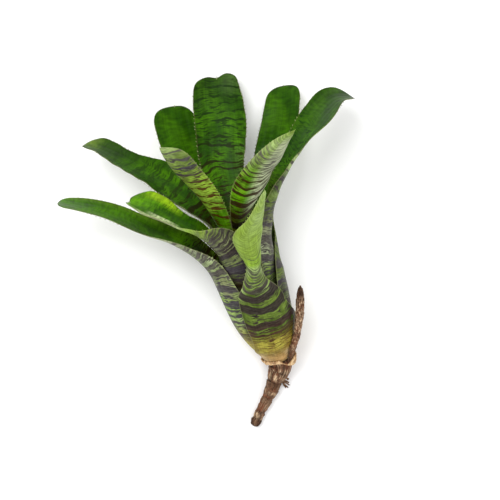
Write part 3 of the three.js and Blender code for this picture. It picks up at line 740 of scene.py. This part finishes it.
def add_node(tree, kind, inputs=(), **settings):
    """Adds a node, sets it, and fills its open sockets, in order or by name, with values or nodes."""
    kind, presets = KINDS.get(kind, (kind, {}))
    node = tree.nodes.new("ShaderNode" + kind)
    for name, value in {**presets, **settings}.items():
        setattr(node, name, value)
    sockets = [socket for socket in node.inputs if socket.enabled]
    if isinstance(inputs, dict):
        sockets = [next(socket for socket in sockets if socket.name == name) for name in inputs]
        inputs = inputs.values()
    for socket, value in zip(sockets, inputs):
        if isinstance(value, bpy.types.Node):
            value = next(output for output in value.outputs if output.enabled)
        if isinstance(value, bpy.types.NodeSocket):
            tree.links.new(value, socket)
        else:
            socket.default_value = value
    return node


def blank_material(name):
    """A new material, and the function that adds nodes to it."""
    material = bpy.data.materials.new(name)
    material.use_nodes = True
    material.node_tree.nodes.clear()
    return material, partial(add_node, material.node_tree)


def add_surface(add, colour, roughness, height, strength, depth, specular=0.5):
    """The shader and the output, with a bump from a height, of a depth in mm."""
    bump = add("Bump", {"Height": height, "Strength": strength, "Distance": depth * MM})
    shader = add("BsdfPrincipled", {
        "Base Color": colour, "Roughness": roughness, "Specular IOR Level": specular, "Normal": bump,
    })
    add("OutputMaterial", {"Surface": shader})


def stretched_noise(add, place, sizes, seed, detail):
    """A noise over noted distances: sizes are those of its blotches in mm across and along (and, round
    a stem, in depth), seed shifts it and detail adds finer steps."""
    scales = (1 / sizes[0], 1 / sizes[1], 1 / sizes[-1])
    scaled = add("Mapping", {"Vector": place, "Scale": scales, "Location": (seed, seed * 1.7, 0)})
    return add("TexNoise", {"Vector": scaled, "Scale": 1, "Detail": detail})


def lengthwise(add, along, tones):
    """A colour that changes along the leaf: tones are mm from the foot, each with a tone's name."""
    node = add("ValToRGB", {"Fac": add("quotient", (along, PATTERN_LENGTH))})
    elements = node.color_ramp.elements
    stops = [stop.split() for stop in tones.split(", ")]
    while len(elements) < len(stops):
        elements.new(0.5)
    for element, (at, tone) in zip(elements, stops):
        element.position = float(at) / PATTERN_LENGTH
        element.color = linear(TONES[tone])
    return node


def strength_along(add, along, bands, soft):
    """A strength along the leaf that rises in each band: bands are (middle, width, strength) in mm."""
    node = add("FloatCurve", {"Value": add("quotient", (along, PATTERN_LENGTH))})
    points = node.mapping.curves[0].points
    points[0].location = (0, 0)
    points[-1].location = (1, 0)
    for middle, width, strength in bands:
        for away, level in ((-1, 0), (-1, strength), (1, strength), (1, 0)):
            ramp = soft / 2 if level == 0 else -soft / 2
            at = middle + away * max(width / 2 + ramp, NARROWEST_TOP)
            points.new(at / PATTERN_LENGTH, level)
    for point in points:
        point.handle_type = "VECTOR"
    node.mapping.update()
    return node


# The tones of the plant, from dry leaf bases over pigments and undersides to the upper faces
TONES = {
    "cream": "#bba379", "tan": "#a58453", "tan_deep": "#78592d", "ochre": "#786122", "straw": "#9c9439",
    "olive": "#59510f", "brown": "#4b3415", "umber": "#2a1b01", "maroon": "#39251f", "soot": "#040101",
    "purple_black": "#2c2422", "purple_grey": "#383339", "mauve_grey": "#47433d", "dun": "#555247",
    "moss_deep": "#31420d", "moss": "#5c702a", "lime": "#82a431", "lime_bright": "#98bc1c",
    "rim_pale": "#c6d49c", "russet": "#3e2409", "apple": "#789134", "fern_deep": "#4b5a2a",
    "fern": "#677f2c", "fern_pale": "#93a967", "sage_deep": "#4e5139", "sage": "#777c56",
    "sage_pale": "#9da782", "leaf_deep": "#214601", "leaf": "#335d01", "leaf_bright": "#407001",
    "leaf_vivid": "#568c01", "bottle": "#123b01", "pine_deep": "#1f3b03", "pine": "#2d4c09",
    "pine_grey": "#435a2c", "silver": "#828b77", "bronze_deep": "#1f2a01", "bronze": "#3b5004",
    "black_green": "#122a01", "black_olive": "#1d1d01",
}

# A leaf's skin: deep and bright greens and band pigment are mm from the foot with a tone, bands are
# (middle, width, strength) in mm, bow and lean bend them in mm at the margins, wobble is their wander
# and ragged how much noise frays them, lines are long thin cross lines and dashes short ones (from, to,
# strength), scurf is the strength of the pale bloom, and tints are (from share, to share across, from
# mm, to mm, tone, strength).
Skin = namedtuple("Skin", "deep bright pigment bands bow lean wobble ragged lines dashes scurf tints")
NO_LINES = (0, 1, 0)
GREEN_PIGMENT = "66 umber, 100 black_green, 150 bottle"

SKINS = {
    "plain_top": Skin(
        "0 sage, 30 fern_deep, 66 bronze_deep, 96 leaf_deep, 150 leaf_deep",
        "0 sage_pale, 30 fern, 66 bronze, 96 leaf, 150 leaf",
        GREEN_PIGMENT, (),
        0, 0, 1.2, 1.3, NO_LINES, (80, 140, 0.2), 0, (),
    ),
    "plain_under": Skin(
        "0 tan_deep, 16 ochre, 30 sage_deep, 70 fern_deep, 110 sage",
        "0 tan, 16 straw, 30 sage, 70 apple, 110 sage_pale",
        "18 brown, 28 maroon, 38 purple_black, 50 purple_grey, 70 mauve_grey, 100 dun",
        ((27, 1.6, 0.7), (33, 2.4, 0.8), (39, 2, 0.8), (45, 2.6, 0.9), (52, 2.4, 0.8), (58, 1.6, 0.7),
         (65, 2.6, 0.8), (72, 2, 0.7), (79, 2, 0.7), (87, 2, 0.6), (96, 1.6, 0.5), (108, 1.6, 0.4)),
        3, 0, 1.6, 1.6, (40, 100, 0.7), (20, 120, 0.8), 0.1, ((-0.4, -1, 36, 90, "moss_deep", 0.6),),
    ),
    "leaf_01_under": Skin(
        "4 tan, 9 ochre, 16 ochre, 21 olive, 28 moss_deep, 50 moss_deep, 57 fern, 66 fern, 74 apple, "
        "124 apple",
        "2 cream, 7 cream, 12 straw, 20 straw, 27 moss, 48 moss, 57 fern_pale, 66 sage_pale, 72 lime, "
        "84 apple, 124 fern_pale",
        "10 tan_deep, 18 brown, 27 maroon, 36 purple_black, 50 purple_black, 62 mauve_grey, 80 fern_deep",
        ((13, 0.5, 0.4), (15.2, 0.6, 0.5), (17.2, 0.6, 0.6), (19, 0.6, 0.6), (20.8, 0.8, 0.7),
         (22.6, 1.1, 0.8), (25, 1.8, 0.9), (27.4, 1, 0.75), (29.1, 0.4, 0.5), (31.6, 3.7, 1),
         (35.2, 0.7, 0.5), (41.1, 4.8, 1), (45.2, 0.7, 0.5), (48.8, 4.4, 1), (53.6, 1.8, 0.9),
         (56.4, 1, 0.8), (58.8, 1, 0.8), (61.2, 0.8, 0.7), (63.6, 0.8, 0.5), (66.4, 1.6, 0.6),
         (76.3, 2.6, 0.5)),
        4.1, -0.6, 1.2, 2.1, (50, 76, 1), (10, 60, 1), 0.05,
        ((0.75, 1, 8, 30, "tan", 0.4), (-0.7, -1, 14, 34, "ochre", 0.5)),
    ),
    "leaf_02_under": Skin(
        "2 tan_deep, 16 ochre, 30 fern_deep, 56 sage, 76 fern_deep, 100 sage",
        "2 tan, 14 straw, 24 straw, 34 fern_pale, 48 lime, 60 fern_pale, 76 sage_pale, 100 sage_pale",
        "18 brown, 28 maroon, 38 purple_grey, 50 purple_grey, 66 mauve_grey, 100 dun",
        ((24.5, 2, 0.6), (30, 1.4, 0.6), (33.5, 2.2, 0.7), (38, 1.8, 0.8), (41.4, 1.8, 0.8), (45.2, 3, 1),
         (50, 1.2, 0.6), (55, 3.4, 1), (63.6, 2.6, 1), (67.3, 1.8, 0.9), (71.5, 1.6, 0.8), (75.2, 1.2, 0.8),
         (79, 1.2, 0.7), (83, 1.2, 0.6)),
        -2, 4, 1.3, 1.8, (36, 96, 1), (20, 90, 1), 0.1, (),
    ),
    "leaf_02_top": Skin(
        "60 olive, 76 bronze_deep, 90 leaf, 103 leaf_deep, 118 leaf, 150 leaf",
        "60 bronze, 76 leaf_bright, 90 leaf_vivid, 103 leaf_bright, 118 leaf_bright, 150 leaf_bright",
        GREEN_PIGMENT,
        ((64, 1.6, 0.7), (68, 2, 0.8), (73, 2.2, 0.8), (79, 1.6, 0.5), (86, 2, 0.3)),
        0, 0, 1.8, 2.2, NO_LINES, (58, 88, 1), 0,
        ((-0.6, -1, 60, 160, "fern", 0.4), (0.1, 0.7, 108, 160, "fern", 0.1)),
    ),
    "leaf_05_under": Skin(
        "50 umber, 62 sage_deep, 80 sage_deep, 88 fern, 94 apple, 104 sage",
        "50 sage_deep, 62 moss, 78 sage, 88 apple, 94 lime, 104 sage_pale",
        "50 umber, 64 purple_grey, 74 purple_black, 90 mauve_grey",
        ((52, 3, 0.8), (58, 2.4, 0.9), (63.8, 3.6, 1), (68.6, 0.8, 0.6), (71.3, 2.8, 1), (74.4, 0.8, 0.7),
         (76.4, 0.9, 0.8), (78.4, 0.9, 0.9), (80.5, 0.9, 0.9), (82.6, 0.9, 0.8), (84.8, 0.9, 0.7)),
        2, -1, 1.1, 1.5, (60, 88, 1), (50, 84, 1), 0.06, (),
    ),
    "leaf_05_top": Skin(
        "80 bronze_deep, 95 leaf_deep, 112 leaf_deep, 122 leaf, 131 leaf_bright",
        "80 bronze, 95 leaf, 112 leaf_bright, 131 leaf_vivid",
        GREEN_PIGMENT, (),
        0, 0, 1.2, 1.3, NO_LINES, (85, 118, 0.6), 0,
        ((-0.5, -0.85, 106, 125, "lime_bright", 0.6), (-0.2, -0.9, 129, 150, "pine_grey", 0.5),
         (0.5, 0.7, 96, 124, "rim_pale", 0.9), (0.05, 0.2, 103, 116, "rim_pale", 0.9),
         (0.2, 0.6, 130, 150, "sage_pale", 0.5)),
    ),
    "leaf_06_under": Skin(
        "36 black_olive, 44 fern_deep, 60 dun, 72 sage_deep, 84 bronze_deep, 120 moss_deep, 150 sage_deep",
        "36 sage_deep, 44 moss, 50 fern, 60 sage_pale, 72 sage, 84 moss, 112 fern_pale, 150 sage",
        "36 black_olive, 48 purple_grey, 63 mauve_grey, 80 purple_grey, 90 purple_black, 112 purple_black",
        ((38.5, 2, 0.6), (47.8, 2.2, 0.8), (54.5, 3, 0.9), (58.5, 1.2, 0.5), (63, 5, 0.9), (71.5, 2.6, 0.9),
         (76, 1, 0.4), (80.3, 1.4, 0.7), (84.2, 1.4, 0.8), (90.5, 1.6, 0.7), (95.8, 2.6, 1),
         (101.5, 1.5, 0.7), (106.5, 2, 0.8), (111.5, 1.4, 0.6), (116.5, 2, 0.6), (124, 1.6, 0.4)),
        1, 0, 1.5, 1.8, (40, 74, 1), (36, 84, 1), 0.1, (),
    ),
    "leaf_06_top": Skin(
        "80 bronze_deep, 104 leaf_deep, 120 leaf_deep, 160 pine_deep",
        "80 bronze, 104 leaf, 120 leaf, 160 pine",
        GREEN_PIGMENT, (),
        0, 0, 1.5, 1.3, NO_LINES, (80, 135, 0.9), 0, (),
    ),
    "leaf_07_top": Skin(
        "72 bronze_deep, 90 leaf_deep, 120 leaf_deep, 145 pine_deep, 161 pine",
        "72 bronze, 90 leaf, 108 leaf_bright, 130 leaf, 150 pine, 161 fern",
        "66 umber, 90 black_olive, 112 pine_deep, 150 pine_deep",
        ((79, 2.4, 0.7), (84, 2, 0.6), (89.5, 3.4, 0.8), (96, 3, 0.55), (103, 3.4, 0.6), (110.5, 3, 0.6),
         (118, 3.4, 0.6), (126, 3, 0.6), (133.5, 3, 0.6), (141, 3, 0.55), (148, 3, 0.4)),
        0, 1.5, 1.8, 2.6, NO_LINES, (72, 150, 0.8), 0,
        ((0.3, 0.9, 70, 108, "dun", 0.5), (-0.72, -0.95, 70, 112, "mauve_grey", 0.8)),
    ),
    "leaf_08_top": Skin(
        "70 bronze_deep, 92 leaf_deep, 130 leaf_deep, 156 pine_deep",
        "70 bronze, 90 leaf_bright, 116 leaf_bright, 136 leaf, 156 pine",
        "66 umber, 100 black_olive, 124 black_green, 150 black_green",
        tuple(
            (76 + 4.8 * k + (0.5, -0.4, 0, 0.3, -0.6)[k % 5], 1.7, (0.6, 0.45, 0.7)[k % 3]) for k in range(17)
        ),
        -1.5, 1.0, 1.6, 2.3, NO_LINES, (70, 152, 0.8), 0,
        # Painted sheen: the two pine_grey tints on one side of the blade stand for a glossy reflection
        ((-0.2, -0.7, 90, 112, "pine_grey", 0.5), (0, -0.6, 144, 160, "pine_grey", 0.5)),
    ),
    "leaf_09_under": Skin(
        "68 bronze_deep, 77 leaf_bright, 86 leaf_bright, 100 apple, 110 fern, 134 fern_deep",
        "68 sage_deep, 77 leaf_vivid, 90 lime, 106 lime, 116 apple, 134 fern_pale",
        "68 soot, 76 russet, 104 russet, 116 purple_grey, 134 dun",
        ((74, 2.4, 0.6), (78.6, 1.6, 0.55), (83, 1.9, 0.65), (88, 1.7, 0.6), (92, 1.8, 0.65),
         (96.5, 1.7, 0.65), (101.8, 1.7, 0.65), (107, 1.7, 0.7), (112.5, 1.9, 0.85), (118, 1.8, 0.85),
         (123.6, 1.7, 0.85), (129, 1.5, 0.8)),
        0, -2.7, 1.2, 3.2, (108, 134, 0.4), (74, 124, 1), 0.04, (),
    ),
    "leaf_10_under": Skin(
        # Towards the foot the deep tone and the pigment turn near-black: partly dark banding, partly painted
        # shade inside the tank's cup
        "66 soot, 74 umber, 80 bronze, 88 leaf, 100 leaf_bright, 110 fern, 135 fern",
        "66 umber, 74 bronze, 80 leaf_bright, 88 leaf_vivid, 100 lime, 108 fern_pale, 122 fern_pale, "
        "135 fern",
        "70 soot, 80 umber, 98 umber, 112 mauve_grey, 134 dun",
        ((72, 4, 0.9), (77, 2.6, 0.95), (83.2, 2.6, 1), (89.8, 1.8, 0.9), (93.3, 1.2, 0.8),
         (96.8, 1.2, 0.8), (100.2, 1.1, 0.8), (103.2, 1, 0.75), (106.4, 0.9, 0.75), (109.6, 0.9, 0.7),
         (113, 0.8, 0.7), (116.5, 0.8, 0.7), (120, 0.8, 0.65), (124, 0.8, 0.6)),
        # The pale sage tint over one half is partly scurf bloom and partly a painted sheen
        4, 4, 1.1, 1.8, (92, 128, 0.6), (72, 118, 0.9), 0.04, ((-0.4, 0.2, 80, 128, "sage_pale", 1),),
    ),
}


def leaf_cuticle(name, skin, settings):
    """Living leaf cuticle: a waxy satin skin over green flesh, with dark pigment in broken cross bands,
    fine lengthwise veins and, beneath, pale scurf in thin cross lines."""
    material, add = blank_material("leaf_cuticle_" + name)
    place = add("Attribute", attribute_name="leaf_place").outputs["Vector"]
    across, along, rim = add("SeparateXYZ", (place,)).outputs
    side = add("Attribute", attribute_name="leaf_side").outputs["Fac"]
    flat = add("CombineXYZ", (across, along))

    # Blotches 12 mm across and 18 mm along, and veins 0.8 mm apart
    blotch = stretched_noise(add, flat, (12, 18), 3.1, 3)
    veins = stretched_noise(add, flat, (0.8, 26), 9.4, 1)
    deep, bright, pigment = (lengthwise(add, along, tones) for tones in skin[:3])
    colour = add("mix", (add("step", (blotch, 0.36, 0.64)), deep, bright))
    for inner, outer, start, end, tone, strength in skin.tints:
        stretch = strength_along(add, along, (((start + end) / 2, end - start, strength),), 8)
        tint = add("product", (add("step", (side, inner, outer)), stretch))
        colour = add("mix", (tint, colour, linear(TONES[tone])))

    # The bands wander by noise 10 mm across and 14 mm along, and bow towards the margins, more so
    # away from the foot
    wander = add("sum", (stretched_noise(add, flat, (10, 14), skin.wobble * 5, 1.5), -0.5))
    shifted = add("product_sum", (wander, 4 * skin.wobble, along))
    growth = add("step", (along, 24, 54, 0.2, 1.3))
    opening = add("product", (add("product", (side, side)), growth))
    bowed = add("product_sum", (opening, -skin.bow, shifted))
    bent = add("product_sum", (side, -skin.lean, bowed))
    band_place = add("CombineXYZ", (across, bent))
    broken = stretched_noise(add, band_place, (6, 1.6), 6.2, 2)
    if skin.bands:
        band = strength_along(add, bent, skin.bands, 0.5)
        frayed = add("product_sum", (add("sum", (broken, -0.5)), skin.ragged, band))
        colour = add("mix", (add("step", (frayed, 0.36, 0.66, 0, 0.95)), colour, pigment))

    # Cross lines about 14 mm long and dashes about 5 mm long, both about 1 mm thick
    patchy = stretched_noise(add, flat, (9, 11), 21, 1)
    for (start, end, strength), sizes, seed, level, patch in (
        (skin.lines, (14, 0.75), 12.7, 0.5, (0.2, 0.45)), (skin.dashes, (4.5, 0.9), 17.7, 0.52, (0.34, 0.54)),
    ):
        if strength:
            mark = add("step", (stretched_noise(add, band_place, sizes, seed, 1), level, level + 0.09))
            zone = strength_along(add, along, (((start + end) / 2, end - start, strength),), 10)
            zoned = add("product", (zone, add("step", (patchy, *patch))))
            colour = add("mix", (add("product", (mark, zoned)), colour, pigment))

    # Scurf in thin cross lines 1.3 mm apart, which break the tone too, and more so beneath
    scurf = stretched_noise(add, band_place, (3.5, 0.65), 31, 2)
    # Beneath, the margin line is pale: partly the pale edge, partly a painted highlight along the lit margin
    line_share, margin_share, margin_colour = (
        (1, settings.margin_share * 0.5, settings.rim_and_highlight_colour) if skin.scurf
        else (0.35, settings.margin_share, settings.margin_colour)
    )
    streaks = add("product_sum", (scurf, line_share, add("product_sum", (veins, 0.45, broken))))
    middle = 0.5 * (1.45 + line_share)
    shade = add("step", (streaks, middle - 0.28, middle + 0.28, 0.7, 1.3))
    colour = add("shade", (1, colour, shade))
    colour = add("mix", (add("step", (scurf, 0.5, 0.68, 0, skin.scurf)), colour, linear(TONES["silver"])))
    colour = add("mix", (add("step", (rim, 0.15, 0.7, margin_share, 0)), colour, margin_colour))
    gloss = add("step", (blotch, 0.3, 0.7, settings.roughness - 0.06, settings.roughness + 0.08))
    grain = add("product_sum", (scurf, 0.5, veins))
    add_surface(add, colour, gloss, grain, strength=0.35, depth=0.12, specular=0.06)
    return material


# The shares of bared red-brown, pale torn fibre and dark rings along each stem, as bands like a leaf's,
# and the width and length of its torn strips in mm
Bark = namedtuple("Bark", "red pale dark strip")
BARKS = {
    "crown": Bark(((24, 6, 0.8), (33, 8, 0.4)), ((30, 9, 0.9), (22, 2, 0.5)), ((25, 3, 0.4),), (0.8, 5)),
    "old_runner": Bark(
        ((6, 6, 0.4), (14, 11, 1)), ((2, 9, 0.9), (11, 10, 0.35), (21, 3.6, 1)),
        ((18.8, 0.9, 1), (23.3, 0.9, 1), (26.6, 5, 0.55), (8, 0.8, 0.4)), (0.8, 5),
    ),
    "new_runner": Bark(
        ((10, 24, 0.8), (30, 16, 0.4)), ((8, 24, 0.6), (31, 20, 0.8)),
        ((3, 5, 0.6), (20, 0.8, 0.6), (33.3, 0.7, 0.7), (36.5, 7, 0.45), (40.8, 0.8, 0.8), (45, 6, 0.8)),
        (0.55, 2),
    ),
}


def cork_bark(name, settings):
    """Dry rhizome bark: matt corky scales and lengthwise fibres, red-brown where fresh, pale where a
    scale has torn, and darker in the crevices and along narrow rings."""
    material, add = blank_material("cork_bark_" + name)
    bark = BARKS[name]
    width, length = bark.strip
    place = add("Attribute", attribute_name="stem_place").outputs["Vector"]
    height = add("Attribute", attribute_name="stem_height").outputs["Fac"]
    along = add("SeparateXYZ", (place,)).outputs["Y"]

    # Patches 4 mm long, torn strips, flecks of 0.7 mm and fibres 0.5 mm apart
    patch = stretched_noise(add, place, (2.4, 4, 2.4), 2, 3)
    strip = stretched_noise(add, place, (width, length, width), 14, 2)
    fleck = stretched_noise(add, place, (0.5, 0.8, 0.5), 5, 2)
    fibre = stretched_noise(add, place, (0.5, 5, 0.5), 8, 1)
    colour = add("mix", (add("step", (patch, 0.35, 0.65)), settings.dark_colour, settings.bark_colour))
    for bands, noise, first, last, tone in (
        (bark.red, patch, 0.62, 0.4, settings.fibre_colour),
        (bark.pale, strip, 0.48, 0.6, settings.fleck_colour),
        (bark.dark, fibre, 0.7, 0.4, settings.crevice_colour),
    ):
        zone = strength_along(add, along, bands, 1.6)
        colour = add("mix", (add("product", (zone, add("step", (noise, first, last)))), colour, tone))
    grain = add("product_sum", (fibre, 0.8, fleck))
    colour = add("shade", (1, colour, add("step", (grain, 0.65, 1.15, 0.5, 1.35))))
    # Darker colour where the relief is lowest, in the crevices between the scales
    colour = add("mix", (add("step", (height, -0.3, 0.05, 0.8, 0)), colour, settings.crevice_colour))
    add_surface(add, colour, 0.82, grain, strength=0.6, depth=0.25, specular=0.2)
    return material


def papery_husk(settings):
    """Dried leaf base: thin matt paper, tan with cream fibres and brown stains at its torn edges."""
    material, add = blank_material("papery_husk")
    place = add("Attribute", attribute_name="husk_place").outputs["Vector"]
    edge = add("SeparateXYZ", (place,)).outputs["Z"]

    # Fibres 0.6 mm apart and stains 5 mm across
    fibre = stretched_noise(add, place, (0.6, 6), 4, 2)
    stain = stretched_noise(add, place, (5, 3), 11, 3)
    colour = add("mix", (add("step", (fibre, 0.4, 0.62)), settings.husk_colour, settings.cream_colour))
    for share in (add("step", (stain, 0.5, 0.7, 0, 0.8)), add("step", (edge, 0.1, 0.7, 0.5, 0))):
        colour = add("mix", (share, colour, settings.stain_colour))
    add_surface(add, colour, 0.75, fibre, strength=0.5, depth=0.2)
    return material


def painted_floor(settings):
    """Matt painted board: an even near-white with a faint roller stipple."""
    material, add = blank_material("painted_floor")

    # Stipple 7 mm apart, coarser than a roller's: 900 steps over the floor's 6 m
    stipple = add("TexNoise", {"Scale": 900, "Detail": 1})
    add_surface(add, settings.floor_colour, 0.9, stipple, strength=0.05, depth=0.1)
    return material


def coloured(name, description, code):
    return FloatVectorProperty(
        name=name, description=description, subtype="COLOR", size=4, min=0, max=1, default=linear(code),
    )


def in_mm(name, description, size):
    return FloatProperty(
        name=name, description=description, subtype="DISTANCE", unit="LENGTH", default=size * MM, min=0,
    )


def in_watts(name, description, default):
    return FloatProperty(name=name, description=description, subtype="POWER", default=default, min=0)


def as_share(name, description, default):
    return FloatProperty(name=name, description=description, subtype="FACTOR", default=default, min=0, max=1)


class LeafSettings(bpy.types.PropertyGroup):
    thickness: in_mm("Thickness", "How thick a leaf is away from its margins", SHEET_THICKNESS)
    row_step: in_mm("Row step", "Distance between the mesh's rows along a leaf", 1.2)
    columns: IntProperty(name="Columns", description="Mesh columns across a leaf", default=44, min=8)
    ripple: in_mm("Ripple", "Height of the slow ripples in a blade", 0.3)
    margin_wave: in_mm("Margin wave", "Height of the waves along the margins", 0.35)
    rib_depth: in_mm("Rib depth", "Height of the low lengthwise ribs", 0.05)
    rib_spacing: in_mm("Rib spacing", "Distance between the lengthwise ribs", 4.2)
    prickle_length: in_mm("Prickle length", "Length of the prickles on the margins", 0.8)
    prickle_spacing: in_mm("Prickle spacing", "Distance between prickles", 2.3)
    point_length: in_mm("Point length", "Length of the short point at each tip", 2.0)
    roughness: as_share("Roughness", "Roughness of the waxy skin", 0.42)
    margin_share: as_share("Margin share", "Strength of the dry margin line", 0.45)
    margin_colour: coloured("Margin colour", "Dry horny edge seen from above", "#4c4a22")
    # Pale margin line beneath: partly the pale edge, partly a painted highlight along the lit margin
    rim_and_highlight_colour: coloured("Rim colour", "The same edge seen from beneath", "#a9b070")


class BarkSettings(bpy.types.PropertyGroup):
    row_step: in_mm("Row step", "Distance between the mesh's rows along a stem", 0.35)
    sides: IntProperty(name="Sides", description="Mesh columns round a stem", default=96, min=8)
    relief: in_mm("Relief", "Height of the scars and scales", 0.35)
    ring_spacing: in_mm("Ring spacing", "Distance between leaf scars on the crown", 2.1)
    bark_colour: coloured("Bark colour", "Corky brown", "#725843")
    dark_colour: coloured("Dark colour", "Older and wetter bark", "#4a301e")
    fleck_colour: coloured("Fleck colour", "Pale torn scales", "#b89c7c")
    fibre_colour: coloured("Fibre colour", "Bared red-brown fibres", "#7a4a32")
    # Colour of the lowest hollows of the relief and of the dark rings along each stem
    crevice_colour: coloured("Crevice colour", "Darker colour between the scales", "#2a1808")


class HuskSettings(bpy.types.PropertyGroup):
    columns: IntProperty(name="Columns", description="Mesh columns round the collar", default=200, min=16)
    rows: IntProperty(name="Rows", description="Mesh rows up the collar", default=22, min=4)
    fray: in_mm("Fray", "How far the torn rim wanders", 0.3)
    crumple: in_mm("Crumple", "Height of the crumples", 0.12)
    fibre_depth: in_mm("Fibre depth", "Height of the fibres", 0.06)
    husk_colour: coloured("Husk colour", "Dry tan paper", "#b88d5c")
    cream_colour: coloured("Cream colour", "Clean fibres", "#dcc094")
    stain_colour: coloured("Stain colour", "Brown stains", "#7c5632")


class StageSettings(bpy.types.PropertyGroup):
    camera_height: in_mm("Camera height", "Height of the camera over the surface", 1230)
    floor_width: in_mm("Floor width", "Width of the plain floor", 6000)
    lens: FloatProperty(
        name="Lens", description="Focal length in mm", subtype="DISTANCE_CAMERA", default=157.1, min=1,
    )
    key_power: in_watts("Key power", "Main soft light", 9.5)
    fill_power: in_watts("Fill power", "Second soft light", 4)
    sky_strength: FloatProperty(
        name="Sky strength", description="Even light from all round", default=0.88, min=0,
    )
    floor_colour: coloured("Floor colour", "Pale painted floor", "#fafafa")


class BROMELIAD_OT_leaves(bpy.types.Operator):
    """Grow the ten leaves, each a sheet with its sheath, blade, margins and prickles"""

    bl_idname = "bromeliad.leaves"
    bl_label = "Grow leaves"

    def execute(self, context):
        settings = context.scene.bromeliad_leaves
        skins = {name: leaf_cuticle(name, skin, settings) for name, skin in SKINS.items()}
        for name in LEAVES:
            slot = next(p["material_slot"] for p in frame["record"]["subparts"] if p["node"] == name)
            faces = [skins.get(name + face, skins["plain" + face]) for face in ("_top", "_under")]
            leaf_shape(name, settings).build(name, faces, slot)
        return {"FINISHED"}


class BROMELIAD_OT_stem(bpy.types.Operator):
    """Build the woody crown with its leaf scars and broken roots"""

    bl_idname = "bromeliad.stem"
    bl_label = "Build stem"

    def execute(self, context):
        settings = context.scene.bromeliad_bark
        stem_shape(settings).build("stem", [cork_bark("crown", settings)], "bark")
        return {"FINISHED"}


class BROMELIAD_OT_runners(bpy.types.Operator):
    """Build the old runner below the crown and the new one beside the tank"""

    bl_idname = "bromeliad.runners"
    bl_label = "Build runners"

    def execute(self, context):
        settings = context.scene.bromeliad_bark
        old_runner_shape(settings).build("old_runner", [cork_bark("old_runner", settings)], "bark")
        new_runner_shape(settings).build("new_runner", [cork_bark("new_runner", settings)], "bark")
        return {"FINISHED"}


class BROMELIAD_OT_collar(bpy.types.Operator):
    """Wrap the foot of the tank in the papery remains of an old leaf"""

    bl_idname = "bromeliad.collar"
    bl_label = "Wrap collar"

    def execute(self, context):
        settings = context.scene.bromeliad_husk
        collar_shape(settings).build("collar", [papery_husk(settings)], "husk")
        return {"FINISHED"}


def soft_light(name, place, size, power):
    """A round soft light, with its place and size in metres, that faces the frame's origin."""
    light = bpy.data.lights.new(name, "AREA")
    light.shape = "DISK"
    light.size = size
    light.energy = power
    lamp = bpy.data.objects.new(name, light)
    lamp.location = place
    lamp.rotation_euler = (-Vector(place)).to_track_quat("-Z", "Y").to_euler()
    bpy.context.scene.collection.objects.link(lamp)


class BROMELIAD_OT_stage(bpy.types.Operator):
    """Set the camera straight above, the soft studio lights and the pale floor"""

    bl_idname = "bromeliad.stage"
    bl_label = "Set stage"

    def execute(self, context):
        scene = context.scene
        settings = scene.bromeliad_stage
        camera_data = bpy.data.cameras.new("camera_above")
        camera_data.lens = settings.lens
        camera_data.clip_start, camera_data.clip_end = CAMERA_CLIP
        camera = bpy.data.objects.new("camera_above", camera_data)
        camera.location = (CAMERA_X * MM, CAMERA_Y * MM, settings.camera_height)
        scene.collection.objects.link(camera)
        scene.camera = camera

        half = settings.floor_width / 2
        corners = [(-half, -half), (half, -half), (half, half), (-half, half)]
        mesh = bpy.data.meshes.new("floor")
        mesh.from_pydata([(x, y, -FLOOR_DROP * MM) for x, y in corners], [], [(0, 1, 2, 3)])
        mesh.materials.append(painted_floor(settings))
        floor = bpy.data.objects.new("floor", mesh)
        scene.collection.objects.link(floor)

        soft_light("key_light", (-0.4, 0.45, 1.15), 0.8, settings.key_power)
        soft_light("fill_light", (0.7, -0.5, 0.9), 0.9, settings.fill_power)
        world = bpy.data.worlds.new("studio")
        scene.world = world
        world.use_nodes = True
        background = world.node_tree.nodes["Background"]
        background.inputs["Color"].default_value = linear("#ffffff")
        background.inputs["Strength"].default_value = settings.sky_strength
        scene.view_settings.view_transform = "Standard"
        return {"FINISHED"}


class BROMELIAD_PT_panel(bpy.types.Panel):
    """Lists the steps that dress the plant"""

    bl_idname = "BROMELIAD_PT_panel"
    bl_label = "Banded tank bromeliad"
    bl_space_type = "VIEW_3D"
    bl_region_type = "UI"
    bl_category = "Bromeliad"

    def draw(self, context):
        for operator in OPERATORS:
            self.layout.operator(operator.bl_idname)


SETTINGS = {
    "bromeliad_leaves": LeafSettings,
    "bromeliad_bark": BarkSettings,
    "bromeliad_husk": HuskSettings,
    "bromeliad_stage": StageSettings,
}
OPERATORS = (
    BROMELIAD_OT_stage,
    BROMELIAD_OT_leaves,
    BROMELIAD_OT_stem,
    BROMELIAD_OT_runners,
    BROMELIAD_OT_collar,
)
CLASSES = (*SETTINGS.values(), *OPERATORS, BROMELIAD_PT_panel)


def register():
    for cls in CLASSES:
        bpy.utils.register_class(cls)
    for name, group in SETTINGS.items():
        setattr(bpy.types.Scene, name, PointerProperty(type=group))


def unregister():
    for name in SETTINGS:
        delattr(bpy.types.Scene, name)
    for cls in reversed(CLASSES):
        bpy.utils.unregister_class(cls)


def main():
    register()
    for operator in OPERATORS:
        group, step = operator.bl_idname.split(".")
        getattr(getattr(bpy.ops, group), step)()
    bpy.context.view_layer.update()


if __name__ == "__main__":
    main()
